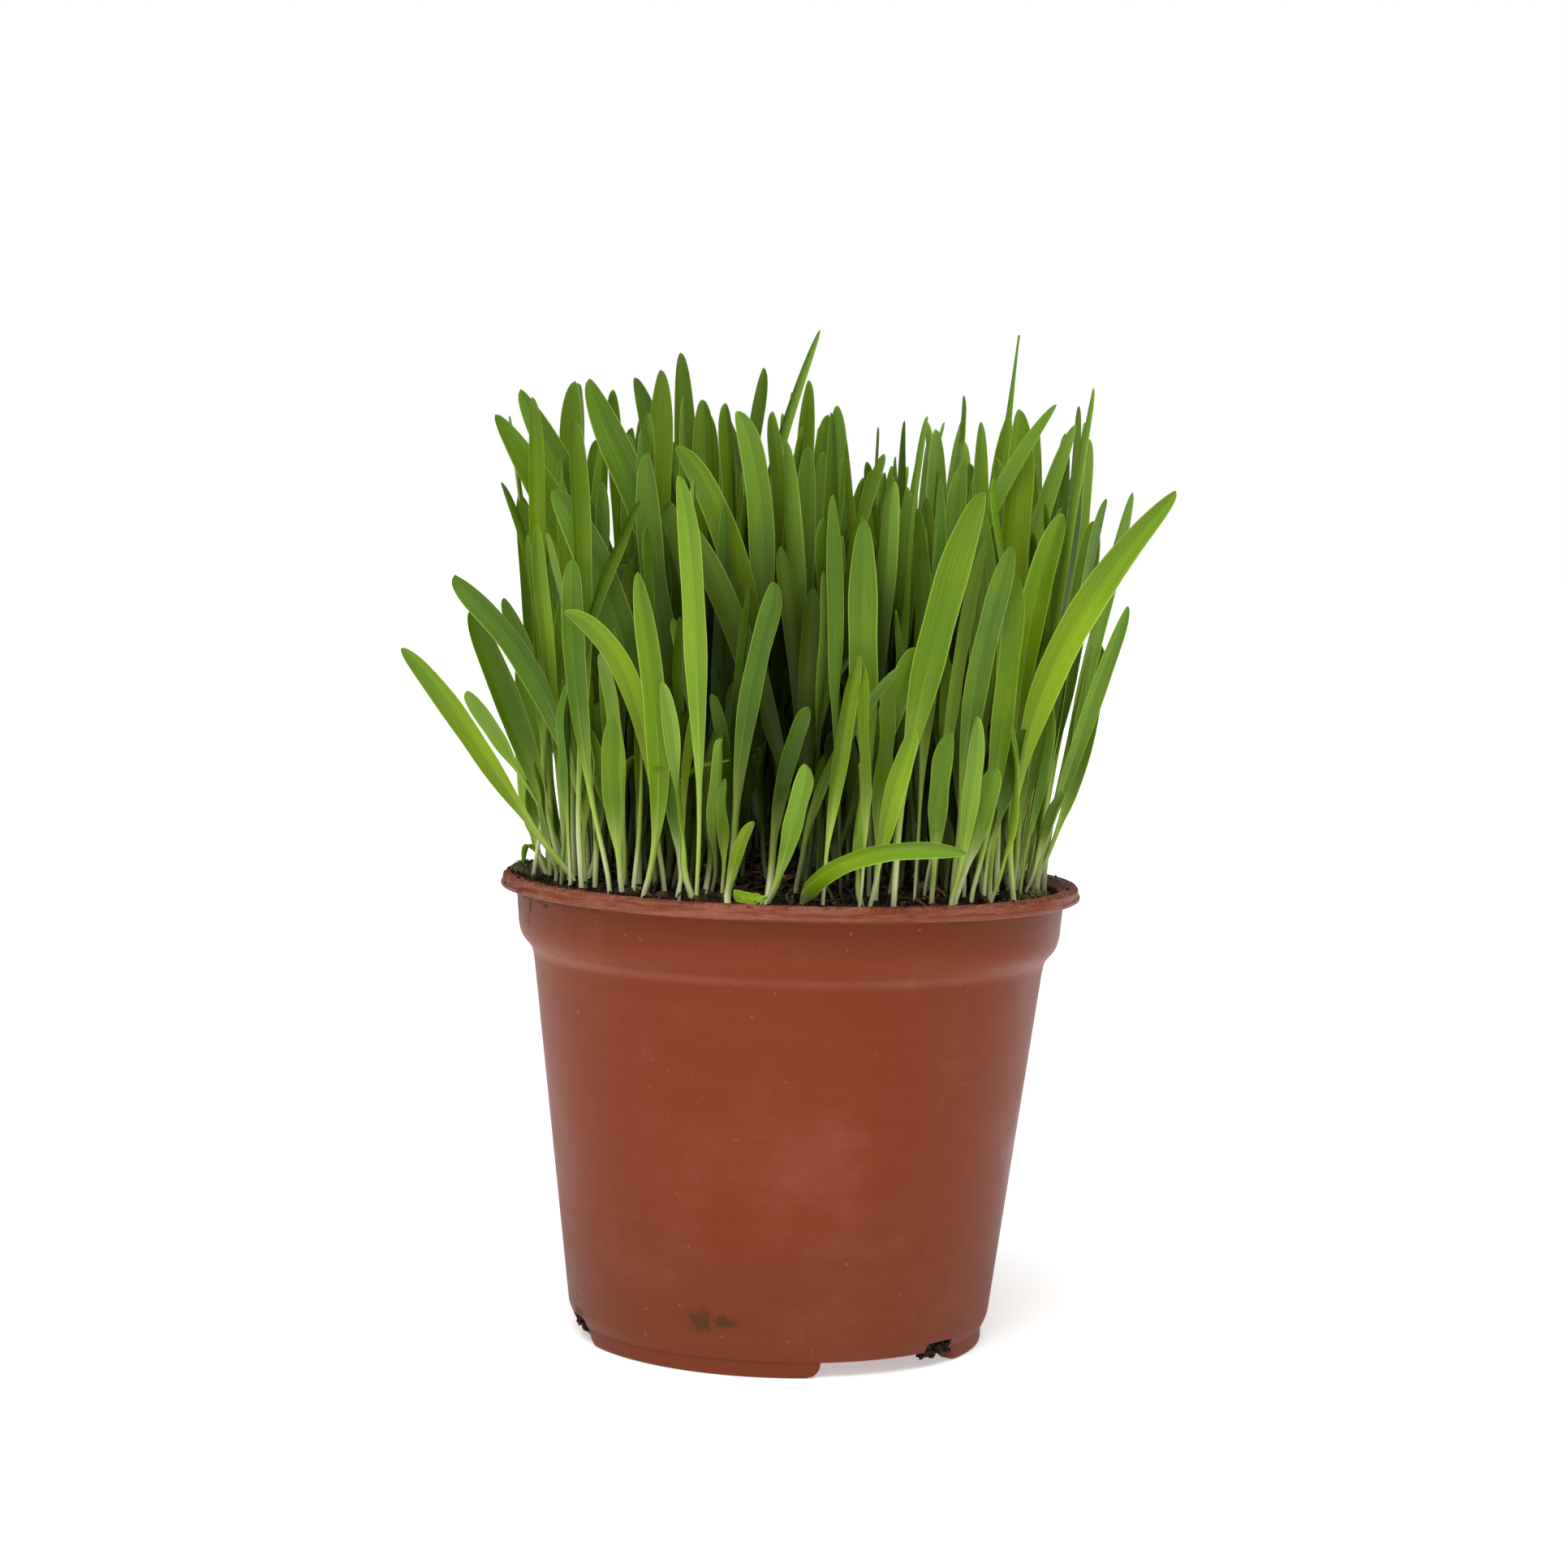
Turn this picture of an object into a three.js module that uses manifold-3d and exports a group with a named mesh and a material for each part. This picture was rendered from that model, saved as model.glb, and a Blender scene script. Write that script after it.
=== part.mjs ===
// A pot of wheatgrass: a thin plastic nursery pot on three feet, filled with potting soil, and
// tufts of young wheat. Each tuft is one body: its shoots grow from a crown of seeds and roots,
// which stands in a plain hole in the soil.
// Millimetres, +Z up, origin on the surface that the pot stands on, on the pot's axis.
// The front of the pot faces -Y. Angles round the pot start at the front and turn towards +X.

import * as THREE from "three";
import { mergeVertices } from "three/addons/utils/BufferGeometryUtils.js";
import Module from "manifold-3d";

const wasm = await Module();
wasm.setup();

// ---------------------------------------------------------------- driving dimensions

const GAP = 0.3; // between two pieces that lie against each other

const RIM_RADIUS = 60;
const POT_HEIGHT = 95.5;
const FOOT_HEIGHT = 3.2;
const WALL = 1.2;
const POT_SIDES = 48;

const FEET = 3;
const FOOT_RING = { inner: 38.8, outer: 42.4 };
const RECESS_WIDTH = rad(44); // the gap between two feet, seen from the axis
const FIRST_RECESS = rad(33.7); // where the middle of the first gap lies
const DRAIN_SLOT = { width: 8, depth: 6, height: 2.6, radius: 41.6, sunk: 0.6, turn: rad(15.5) };
const FLOOR_HOLES = { count: 6, radius: 2.6, circle: 24 };

const SOIL_RADIUS = 54.8; // of its top
const SOIL_EDGE = 93.2; // height where it meets the pot
const SOIL_DOME = 5.2; // how much higher its middle is
const MOUND = { x: -3, y: 6, height: 8, spread: 9 }; // a heap just behind the middle
const SOIL_SIDES = 30;
const SOIL_RINGS = 7;

const TUFT_RINGS = [
  { tufts: 1, radius: 0, turn: 0 },
  { tufts: 6, radius: 15.8, turn: rad(8) },
  { tufts: 12, radius: 31.6, turn: rad(12) },
  { tufts: 18, radius: 47.2, turn: 0 },
];
const CROWN = { radius: 7.3, depth: 8, sides: 6, sink: 0.4 };
const ROOT_REACH = 4.8; // how far from its tuft's middle a shoot may grow
const SHOOTS_IN_TUFT = 8;
const BARE_FRONT = { x: 3, y: -40, spread: 15 }; // where few shoots came up

const SHEATH = { width: 2, thickness: 1.7, sunk: 3 }; // sunk is its depth in the crown
const YOUNG_SHEATH = { width: 1.4, thickness: 1.1, sunk: 0 };
const LEAF_THICKNESS = 1.2;
const TIP_THICKNESS = 0.7;
const LEAF_STATIONS = [0, 0.35, 0.65, 0.9, 1];

// The leaves that stand out from the mass, set by hand. from is where the shoot comes up, bend
// pulls its middle, and tip is where it ends. face turns the blade in degrees: at 0 it shows
// its flat side to the front.
const CHOSEN_LEAVES = [
  // leaning out over the left side
  { from: [-43, -23], bend: [-59, -30, 119], tip: [-77, -42, 142], width: 4.8, face: 10 },
  { from: [-39, -19], bend: [-48, -21, 139], tip: [-69, -26, 156], width: 5.4, face: -8, blunt: true },
  { from: [-47, -11], bend: [-52, -15, 121], tip: [-66, -20, 149], width: 6, face: 14 },
  { from: [-43, 5], bend: [-47, 3, 126], tip: [-62, 0, 151], width: 4.2, face: -5, blunt: true },
  // leaning out over the right side
  { from: [44, -27], bend: [38, -30, 138], tip: [75, -27, 176], width: 6.6, face: 6 },
  { from: [43, -20], bend: [44, -23, 150], tip: [52, -23, 172], width: 5.8, face: -7 },
  { from: [52, -4], bend: [60, -5, 140], tip: [67, -6, 177], width: 4, face: 20 },
  { from: [50, -16], bend: [57, -19, 127], tip: [66, -22, 154], width: 3.8, face: 10 },
  // the tall group on the left
  { from: [-31, -5], bend: [-25, -5, 135], tip: [-63, -6, 189], width: 8, face: 8 },
  { from: [-36, 5], bend: [-27, 6, 149], tip: [-60, 6, 194], width: 6.5, face: -6, blunt: true },
  { from: [-43, 12], bend: [-45, 13, 151], tip: [-50, 14, 197], width: 5.8, face: 4, blunt: true },
  { from: [-22, -10], bend: [-17, -10, 150], tip: [-45, -10, 196], width: 6.8, face: 12, blunt: true },
  { from: [-28, -24], bend: [-31, -26, 150], tip: [-49, -27, 174], width: 8, face: -10 },
  { from: [-21, 16], bend: [-23, 17, 156], tip: [-26, 18, 204], width: 5.2, face: 6 },
  { from: [-25, 4], bend: [-18, 5, 152], tip: [-35, 6, 198], width: 5.3, face: -12, blunt: true },
  { from: [-18, 22], bend: [-19, 23, 150], tip: [-20, 24, 192], width: 4.8, face: 0, blunt: true },
  { from: [-49, 10], bend: [-53, 11, 137], tip: [-59, 12, 173], width: 4.2, face: 9, blunt: true },
  // broad leaves in front of the middle
  { from: [-8, -15], bend: [-4, -15, 165], tip: [-13, -14, 191], width: 5.8, face: 6 },
  { from: [-2, -20], bend: [-7, -21, 157], tip: [-24, -22, 184], width: 6.3, face: -9 },
  { from: [0, -25], bend: [-5, -26, 136], tip: [-22, -29, 168], width: 5.8, face: 12 },
  { from: [2, -10], bend: [0, -11, 144], tip: [1, -12, 184], width: 5, face: -3, blunt: true },
  { from: [13, -12], bend: [10, -12, 148], tip: [14, -12, 180], width: 4.8, face: 14, blunt: true },
  { from: [20, -8], bend: [19, -8, 141], tip: [18, -8, 176], width: 5, face: -8 },
  // the front row, from the left
  { from: [-35, -36], bend: [-45, -39, 138], tip: [-45, -40, 160], width: 4.8, face: 16 },
  { from: [-29, -41], bend: [-22, -45, 112], tip: [-32, -49, 158], width: 5.2, face: 8 },
  { from: [-26, -38], bend: [-26, -39, 139], tip: [-45, -42, 151], width: 5, face: -6 },
  { from: [-33, -40], bend: [-36, -43, 113], tip: [-35, -44, 130], width: 4.2, face: -14, blunt: true },
  { from: [-18, -49], bend: [-18, -49, 140], tip: [-23, -48, 177], width: 5, face: 5 },
  { from: [-12, -43], bend: [-10, -43, 133], tip: [-5, -44, 157], width: 4.6, face: 18, blunt: true },
  { from: [-4, -45], bend: [-3, -43, 122], tip: [2, -41, 133], width: 3.4, face: 0, blunt: true },
  { from: [-4, -49], bend: [-1, -51, 108], tip: [3, -53, 122], width: 4, face: -10, blunt: true },
  { from: [-12, -48], bend: [-11, -50, 104], tip: [-8, -49, 111], width: 2.6, face: 0 },
  { from: [1, -43], bend: [3, -47, 121], tip: [19, -50, 142], width: 2.6, face: 24 },
  { from: [7, -36], bend: [15, -40, 126], tip: [23, -43, 145], width: 5.4, face: 6, blunt: true },
  { from: [1, -50], bend: [6, -56, 108], tip: [33, -60, 107], width: 3.8, face: 90, roll: 62 },
  { from: [15, -50], bend: [18, -53, 114], tip: [23, -55, 130], width: 4.6, face: 10 },
  { from: [22, -49], bend: [22, -48, 142], tip: [34, -42, 176], width: 7.2, face: -8 },
  { from: [27, -40], bend: [28, -46, 113], tip: [29, -47, 129], width: 4.4, face: 9, blunt: true },
  { from: [31, -41], bend: [35, -45, 114], tip: [36, -48, 132], width: 3.6, face: -12 },
  { from: [32, -32], bend: [33, -37, 133], tip: [41, -42, 165], width: 5, face: 14, blunt: true },
  { from: [34, -39], bend: [37, -43, 110], tip: [39, -47, 122], width: 4.2, face: 0, blunt: true },
  { from: [35, -35], bend: [42, -37, 124], tip: [43, -38, 160], width: 4.8, face: -10, blunt: true },
  // the tall group on the right, and the two longest spikes
  { from: [38, 6], bend: [38, 7, 156], tip: [44, 8, 209], width: 4.8, face: 12 },
  { from: [31, -18], bend: [18, -19, 144], tip: [50, -18, 194], width: 3.6, face: -4, blunt: true },
  { from: [52, 9], bend: [57, 10, 145], tip: [60, 10, 188], width: 4.4, face: 8, blunt: true },
  { from: [47, 5], bend: [35, 6, 131], tip: [56, 8, 191], width: 4, face: 15, blunt: true },
  { from: [6, 20], bend: [5, 21, 150], tip: [4, 22, 192], width: 4.6, face: -8, blunt: true },
  { from: [-9, 2], bend: [-18, 3, 152], tip: [2, 5, 209], width: 2.8, face: 30 },
  { from: [-9, 12], bend: [-17, 13, 155], tip: [-8, 14, 201], width: 3.2, face: 10, blunt: true },
];

// ---------------------------------------------------------------- small helpers

function rad(degrees) {
  return (degrees * Math.PI) / 180;
}

function mix(from, to, share) {
  return from + (to - from) * share;
}

function clamp(value, low, high) {
  return Math.min(high, Math.max(low, value));
}

function smoothstep(from, to, value) {
  const share = clamp((value - from) / (to - from), 0, 1);
  return share * share * (3 - 2 * share);
}

// The point at a radius and an angle from the front.
function around(radius, angle) {
  return [radius * Math.sin(angle), -radius * Math.cos(angle)];
}

// Repeatable random numbers from 0 to 1.
function makeRandom(seed) {
  let state = seed;
  return () => {
    state = (Math.imul(state, 1664525) + 1013904223) >>> 0;
    return state / 4294967296;
  };
}

function solidFromArrays(vertices, triangles) {
  const vertProperties = new Float32Array(vertices.flat());
  const triVerts = new Uint32Array(triangles.flat());
  return new wasm.Manifold(new wasm.Mesh({ numProp: 3, vertProperties, triVerts }));
}

function solidFromGeometry(geometry) {
  geometry.deleteAttribute("normal");
  geometry.deleteAttribute("uv");
  const merged = mergeVertices(geometry, 1e-4);
  const vertProperties = merged.attributes.position.array;
  const triVerts = new Uint32Array(merged.index.array);
  return new wasm.Manifold(new wasm.Mesh({ numProp: 3, vertProperties, triVerts }));
}

function meshFromSolid(name, solid, material) {
  const { vertProperties, triVerts } = solid.getMesh();
  const geometry = new THREE.BufferGeometry();
  geometry.setAttribute("position", new THREE.BufferAttribute(vertProperties, 3));
  geometry.setIndex(new THREE.BufferAttribute(triVerts, 1));
  geometry.computeVertexNormals();
  const mesh = new THREE.Mesh(geometry, material);
  mesh.name = name;
  return mesh;
}

// A body of revolution about Z from a profile of [radius, height] points.
function turned(profile, sides) {
  const points = profile.map(([radius, height]) => new THREE.Vector2(radius, height));
  const geometry = new THREE.LatheGeometry(points, sides);
  geometry.rotateX(Math.PI / 2);
  return geometry;
}

// An upright prism on x, y, with one of its sides facing that way.
function prism(x, y, radius, low, high, sides, facing = 0) {
  const start = facing + Math.PI / sides;
  const geometry = new THREE.CylinderGeometry(radius, radius, high - low, sides, 1, false, start);
  geometry.rotateX(Math.PI / 2);
  geometry.translate(x, y, (low + high) / 2);
  return geometry;
}

// ---------------------------------------------------------------- pot

// The outside from the middle of the floor up: the lower corner, the taper, the shoulder, the
// collar and the lip. Then the inside down.
function potProfile() {
  const floorTop = FOOT_HEIGHT + WALL;
  return [
    [0, FOOT_HEIGHT],
    [42.6, FOOT_HEIGHT],
    [43.8, 5.9],
    [52.8, 78],
    [53.3, 80.1],
    [55.5, 82.7],
    [56.1, 84.9],
    [56.7, 92.4],
    [59.2, 92.6],
    [RIM_RADIUS, 93.3],
    [RIM_RADIUS, 94.7],
    [59.1, POT_HEIGHT],
    [57.1, POT_HEIGHT],
    [55.5, 94.4],
    [54.9, 85.1],
    [54.3, 83.2],
    [52.1, 80.6],
    [51.6, 78.1],
    [42.8, 5.9],
    [41.6, floorTop],
    [0, floorTop],
  ];
}

function recessAngle(index) {
  return FIRST_RECESS + (index * 2 * Math.PI) / FEET;
}

// One foot: an arc of ring from one recess to the next, carried up into the floor.
function foot(index) {
  const start = recessAngle(index) + RECESS_WIDTH / 2 - Math.PI / 2;
  const end = recessAngle(index + 1) - RECESS_WIDTH / 2 - Math.PI / 2;
  const outline = new THREE.Shape();
  outline.absarc(0, 0, FOOT_RING.outer, start, end, false);
  outline.absarc(0, 0, FOOT_RING.inner, end, start, true);
  const depth = FOOT_HEIGHT + WALL / 2;
  return new THREE.ExtrudeGeometry(outline, { depth, bevelEnabled: false, curveSegments: 10 });
}

// A slot through the lower corner of the wall, near the far end of a recess.
function drainSlot(index) {
  const { width, depth, height, radius, sunk, turn } = DRAIN_SLOT;
  const geometry = new THREE.BoxGeometry(width, depth, height);
  geometry.translate(0, -radius, FOOT_HEIGHT - sunk + height / 2);
  geometry.rotateZ(recessAngle(index) + turn);
  return geometry;
}

function floorHole(index) {
  const [x, y] = around(FLOOR_HOLES.circle, (index * 2 * Math.PI) / FLOOR_HOLES.count);
  return prism(x, y, FLOOR_HOLES.radius, FOOT_HEIGHT - 1, FOOT_HEIGHT + WALL + 1, 8);
}

function makePot() {
  let solid = solidFromGeometry(turned(potProfile(), POT_SIDES));
  for (let i = 0; i < FEET; i++) solid = solid.add(solidFromGeometry(foot(i)));
  for (let i = 0; i < FEET; i++) solid = solid.subtract(solidFromGeometry(drainSlot(i)));
  for (let i = 0; i < FLOOR_HOLES.count; i++) {
    solid = solid.subtract(solidFromGeometry(floorHole(i)));
  }
  return solid;
}

// ---------------------------------------------------------------- soil

function soilTop(x, y) {
  const share = Math.min(1, Math.hypot(x, y) / SOIL_RADIUS);
  const fromMound = Math.hypot(x - MOUND.x, y - MOUND.y) / MOUND.spread;
  const mound = MOUND.height * Math.exp(-fromMound * fromMound / 2);
  const lumps = 0.4 * Math.sin(0.31 * x + 1.1) * Math.cos(0.27 * y - 0.4);
  return SOIL_EDGE + SOIL_DOME * (1 - share * share) + mound + lumps;
}

// The soil follows the pot's inside, a gap away from it, with a hole for each tuft's crown.
function makeSoil(tufts) {
  const wall = [[0, 4.7], [41.3, 4.7], [42.4, 6], [51, 76.2], [51.4, 80.2], [53.8, 84.6]];
  const top = [];
  for (let i = SOIL_RINGS; i >= 0; i--) top.push([(SOIL_RADIUS * i) / SOIL_RINGS, SOIL_EDGE]);
  const profile = [...wall, ...top];
  const geometry = turned(profile, SOIL_SIDES);
  const place = geometry.attributes.position;
  for (let i = 0; i < place.count; i++) {
    const isTop = i % profile.length >= wall.length;
    if (isTop) place.setZ(i, soilTop(place.getX(i), place.getY(i)));
  }
  let solid = solidFromGeometry(geometry);
  for (const tuft of tufts) {
    const radius = CROWN.radius + GAP / Math.cos(Math.PI / CROWN.sides);
    const low = tuft.top - CROWN.depth - GAP;
    const high = tuft.top + CROWN.depth;
    const hole = prism(tuft.x, tuft.y, radius, low, high, CROWN.sides, tuft.angle);
    solid = solid.subtract(solidFromGeometry(hole));
  }
  return solid;
}

// ---------------------------------------------------------------- the form of a leaf

// A leaf's line is a curve from its root to its tip, pulled by its bend point.
function leafPoint(leaf, t) {
  return new THREE.QuadraticBezierCurve3(leaf.root, leaf.bend, leaf.tip).getPoint(t);
}

function leafHeading(leaf, t) {
  const fromRoot = leaf.bend.clone().sub(leaf.root).multiplyScalar(1 - t);
  const toTip = leaf.tip.clone().sub(leaf.bend).multiplyScalar(t);
  return fromRoot.add(toTip).normalize();
}

// A narrow sheath, the widest part past the middle, then a blunt or a long tip.
function leafWidth(leaf, t) {
  const widest = leaf.blunt ? 0.72 : 0.62;
  const body = mix(leaf.stem.width, leaf.width, smoothstep(0.2, widest, t));
  const past = clamp((t - widest) / (1 - widest), 0, 1);
  return body * (leaf.blunt ? Math.sqrt(1 - 0.93 * past ** 3) : 1 - 0.88 * past ** 1.5);
}

function leafThickness(leaf, t) {
  const body = mix(leaf.stem.thickness, LEAF_THICKNESS, smoothstep(0.1, 0.5, t));
  return mix(body, TIP_THICKNESS, smoothstep(0.75, 1, t));
}

// The left and right edge and the keel at one station.
function leafSection(leaf, t) {
  const centre = leafPoint(leaf, t);
  if (t === 0) centre.z -= leaf.stem.sunk;
  const along = leafHeading(leaf, t);
  const facing = leaf.face + leaf.twist * t;
  const across = new THREE.Vector3(Math.cos(facing), Math.sin(facing), 0);
  across.addScaledVector(along, -across.dot(along)).normalize();
  across.applyAxisAngle(along, leaf.roll);
  const back = new THREE.Vector3().crossVectors(along, across);
  const half = leafWidth(leaf, t) / 2;
  const thick = leafThickness(leaf, t);
  const front = centre.clone().addScaledVector(back, -0.45 * thick);
  return {
    left: front.clone().addScaledVector(across, -half),
    right: front.clone().addScaledVector(across, half),
    keel: centre.addScaledVector(back, 0.55 * thick),
  };
}

// Three sides all the way: a flat front and a keel along the back. Both faces are split alike,
// from the left below to the right above.
function leafSolid(leaf) {
  const vertices = [];
  for (const t of LEAF_STATIONS) {
    const { left, right, keel } = leafSection(leaf, t);
    vertices.push(left.toArray(), right.toArray(), keel.toArray());
  }
  const triangles = [[0, 2, 1]];
  const last = vertices.length - 3;
  for (let low = 0; low < last; low += 3) {
    const [left, right, keel] = [low, low + 1, low + 2];
    const [leftUp, rightUp, keelUp] = [low + 3, low + 4, low + 5];
    triangles.push([left, right, rightUp], [left, rightUp, leftUp]);
    triangles.push([right, keel, rightUp], [keel, keelUp, rightUp]);
    triangles.push([keel, left, keelUp], [left, leftUp, keelUp]);
  }
  triangles.push([last, last + 1, last + 2]);
  return solidFromArrays(vertices, triangles);
}

// ---------------------------------------------------------------- room between the shoots

// Space is a grid of small cells. A shoot claims the cells that its leaves pass through and the
// cells round them, and the next shoot is bent clear of those.
const CELL = 0.8;
const ROOM_LOW = [-100, -100, 85];
const ROOM_CELLS = [250, 250, 170];
const SAMPLE_STEP = 0.4;
const CLEARANCE = { crown: 0.1, soil: 0.4, wall: 0.6, rim: 0.8 };
const NEAR = [-1, 0, 1];
const CELLS_ROUND = NEAR.flatMap((di) => NEAR.flatMap((dj) => NEAR.map((dk) => [di, dj, dk])));

function cellIndex(i, j, k) {
  return i + ROOM_CELLS[0] * (j + ROOM_CELLS[1] * k);
}

function cellOf(point) {
  return [
    Math.floor((point.x - ROOM_LOW[0]) / CELL),
    Math.floor((point.y - ROOM_LOW[1]) / CELL),
    Math.floor((point.z - ROOM_LOW[2]) / CELL),
  ];
}

// Points close together all over a leaf's faces.
function leafSamples(leaf) {
  const samples = [];
  const sections = LEAF_STATIONS.map((t) => leafSection(leaf, t));
  for (let s = 0; s < sections.length - 1; s++) {
    const [low, high] = [sections[s], sections[s + 1]];
    const rows = Math.ceil(low.keel.distanceTo(high.keel) / SAMPLE_STEP);
    const reach = Math.max(low.left.distanceTo(low.right), high.left.distanceTo(high.right));
    const columns = Math.ceil(reach / SAMPLE_STEP);
    for (let row = 0; row <= rows; row++) {
      const left = low.left.clone().lerp(high.left, row / rows);
      const right = low.right.clone().lerp(high.right, row / rows);
      samples.push(low.keel.clone().lerp(high.keel, row / rows));
      for (let column = 0; column <= columns; column++) {
        samples.push(left.clone().lerp(right, column / columns));
      }
    }
  }
  return samples;
}

// A leaf is clear where it stays out of other shoots' cells, above the soil round its own
// tuft's hole, and above the pot's rim.
function isClear(cells, samples, tuft, shoot) {
  const crownInside = CROWN.radius * Math.cos(Math.PI / CROWN.sides) + CLEARANCE.crown;
  for (const point of samples) {
    const fromTuft = Math.hypot(point.x - tuft.x, point.y - tuft.y);
    const fromAxis = Math.hypot(point.x, point.y);
    const overSoil = point.z - soilTop(point.x, point.y);
    if (fromTuft > crownInside && overSoil < CLEARANCE.soil) return false;
    const isOverRim = fromAxis > SOIL_RADIUS - CLEARANCE.wall;
    if (isOverRim && point.z < POT_HEIGHT + CLEARANCE.rim) return false;
    const owner = cells[cellIndex(...cellOf(point))];
    if (owner !== 0 && owner !== shoot) return false;
  }
  return true;
}

function claimCells(cells, samples, shoot) {
  for (const point of samples) {
    const [i, j, k] = cellOf(point);
    for (const [di, dj, dk] of CELLS_ROUND) {
      const index = cellIndex(i + di, j + dj, k + dk);
      if (cells[index] === 0) cells[index] = shoot;
    }
  }
}

// ---------------------------------------------------------------- how the tufts grow

const SEED = 2;
const TRIES = 120; // at one shoot, before its place stays empty
const YOUNG_SHARE = 0.3; // of the shoots have a second leaf
const BLUNT_SHARE = 0.6;
const DEPTH_SHIFTS = [0, 1.5, -1.5, 3, -3, 4.5, -4.5, 6, -6, 8, -8]; // of a chosen leaf's tip
const ROOT_REACHES = [ROOT_REACH, 4.3, 3.7, 3, 2];
const HEIGHT = { mean: 93, wave: 6, wavelength: 86 }; // of the tall shoots, from left to right
const TALL = { share: 0.75, inFront: 0.25, from: 20, to: 45 }; // fewer are tall at the front
const LEAN = { outwards: 0.12, any: 8 };
const WIDTH = { low: 4.2, high: 7, short: 0.75 }; // short is the factor on the shortest
const YOUNG = { low: 2.8, high: 4.2, lean: 14 };

function makeTufts() {
  const tufts = [];
  for (const { tufts: count, radius, turn } of TUFT_RINGS) {
    for (let i = 0; i < count; i++) {
      const angle = turn + (i * 2 * Math.PI) / count;
      const [x, y] = around(radius, angle);
      tufts.push({ x, y, angle, top: soilTop(x, y), leaves: [] });
    }
  }
  return tufts;
}

function nearestTuft(tufts, x, y) {
  const distance = (tuft) => Math.hypot(tuft.x - x, tuft.y - y);
  return tufts.reduce((best, tuft) => (distance(tuft) < distance(best) ? tuft : best));
}

// Puts a root into its tuft's crown, no further than reach from the middle.
function rootIn(tuft, x, y, reach = ROOT_REACH) {
  const away = Math.hypot(x - tuft.x, y - tuft.y);
  const share = Math.min(1, reach / Math.max(away, 0.001));
  const rootX = tuft.x + (x - tuft.x) * share;
  const rootY = tuft.y + (y - tuft.y) * share;
  return new THREE.Vector3(rootX, rootY, soilTop(rootX, rootY) - CROWN.sink);
}

function chosenLeaf(tuft, chosen, shift, reach) {
  const { from, bend, tip, width, face, blunt = false, roll = 0 } = chosen;
  return {
    root: rootIn(tuft, ...from, reach),
    bend: new THREE.Vector3(bend[0], bend[1] + shift / 2, bend[2]),
    tip: new THREE.Vector3(tip[0], tip[1] + shift, tip[2]),
    stem: SHEATH,
    width,
    face: rad(face),
    twist: 0,
    roll: rad(roll),
    blunt,
  };
}

// How bare the soil is there, from 0 to 1.
function bareness(x, y) {
  const away = Math.hypot(x - BARE_FRONT.x, y - BARE_FRONT.y) / BARE_FRONT.spread;
  return Math.exp((-away * away) / 2);
}

// One try at a shoot. It always draws the same number of random numbers, in the same order.
function drawnLeaf(tuft, place, random) {
  const angle = (place * 2 * Math.PI) / (SHOOTS_IN_TUFT - 1) + random() * 0.9;
  const radius = place === 0 ? random() * 1.2 : ROOT_REACH - random() * 0.9;
  const root = rootIn(tuft, tuft.x + radius * Math.cos(angle), tuft.y + radius * Math.sin(angle));
  const wave = Math.cos((2 * Math.PI * root.x) / HEIGHT.wavelength);
  const tallest = HEIGHT.mean - HEIGHT.wave * wave;
  const isTall = random() < mix(TALL.share, TALL.inFront, smoothstep(TALL.from, TALL.to, -root.y));
  const share = mix(isTall ? 0.8 : 0.3, isTall ? 1.08 : 0.8, random());
  const leanX = share * (root.x * LEAN.outwards + mix(-LEAN.any, LEAN.any, random()));
  const leanY = share * (root.y * LEAN.outwards + mix(-LEAN.any, LEAN.any, random()));
  const bow = mix(0.1, 0.5, random());
  const rise = tallest * share * mix(0.5, 0.62, random());
  return {
    root,
    bend: new THREE.Vector3(root.x + leanX * bow, root.y + leanY * bow, root.z + rise),
    tip: new THREE.Vector3(root.x + leanX, root.y + leanY, root.z + tallest * share),
    stem: SHEATH,
    width: mix(WIDTH.low, WIDTH.high, random()) * mix(WIDTH.short, 1, share),
    face: Math.atan2(leanY, leanX) + Math.PI / 2 + mix(-1, 1, random()),
    twist: mix(-0.7, 0.7, random()),
    roll: 0,
    blunt: random() < BLUNT_SHARE,
  };
}

// A young leaf comes out of the sheath of a shoot's first leaf and stands up beside it.
function youngLeaf(first, random) {
  const root = leafPoint(first, mix(0.22, 0.4, random()));
  const height = (first.tip.z - root.z) * mix(0.5, 0.9, random());
  const leanX = mix(-YOUNG.lean, YOUNG.lean, random());
  const leanY = mix(-YOUNG.lean, YOUNG.lean, random());
  const carried = first.bend.clone().sub(first.root).setZ(0).multiplyScalar(0.6);
  return {
    root,
    bend: new THREE.Vector3(root.x + carried.x, root.y + carried.y, root.z + height * 0.5),
    tip: new THREE.Vector3(root.x + leanX, root.y + leanY, root.z + height),
    stem: YOUNG_SHEATH,
    width: mix(YOUNG.low, YOUNG.high, random()),
    face: first.face + first.twist * 0.3,
    twist: mix(-0.9, 0.9, random()),
    roll: 0,
    blunt: false,
  };
}

// Adds a leaf to its tuft and claims its room, if it is clear.
function placeLeaf(tuft, leaf, cells, shoot) {
  const samples = leafSamples(leaf);
  if (!isClear(cells, samples, tuft, shoot)) return false;
  claimCells(cells, samples, shoot);
  tuft.leaves.push(leaf);
  return true;
}

// A chosen leaf keeps its place as seen from the front. It is bent forward or back, and its
// root moves further into the crown, until it is clear.
function growChosenLeaves(tufts, cells) {
  let shoots = 0;
  for (const chosen of CHOSEN_LEAVES) {
    const tuft = nearestTuft(tufts, ...chosen.from);
    const isPlaced = DEPTH_SHIFTS.some((shift) =>
      ROOT_REACHES.some((reach) => {
        const leaf = chosenLeaf(tuft, chosen, shift, reach);
        return placeLeaf(tuft, leaf, cells, shoots + 1);
      }),
    );
    if (isPlaced) shoots += 1;
  }
  return shoots;
}

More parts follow.
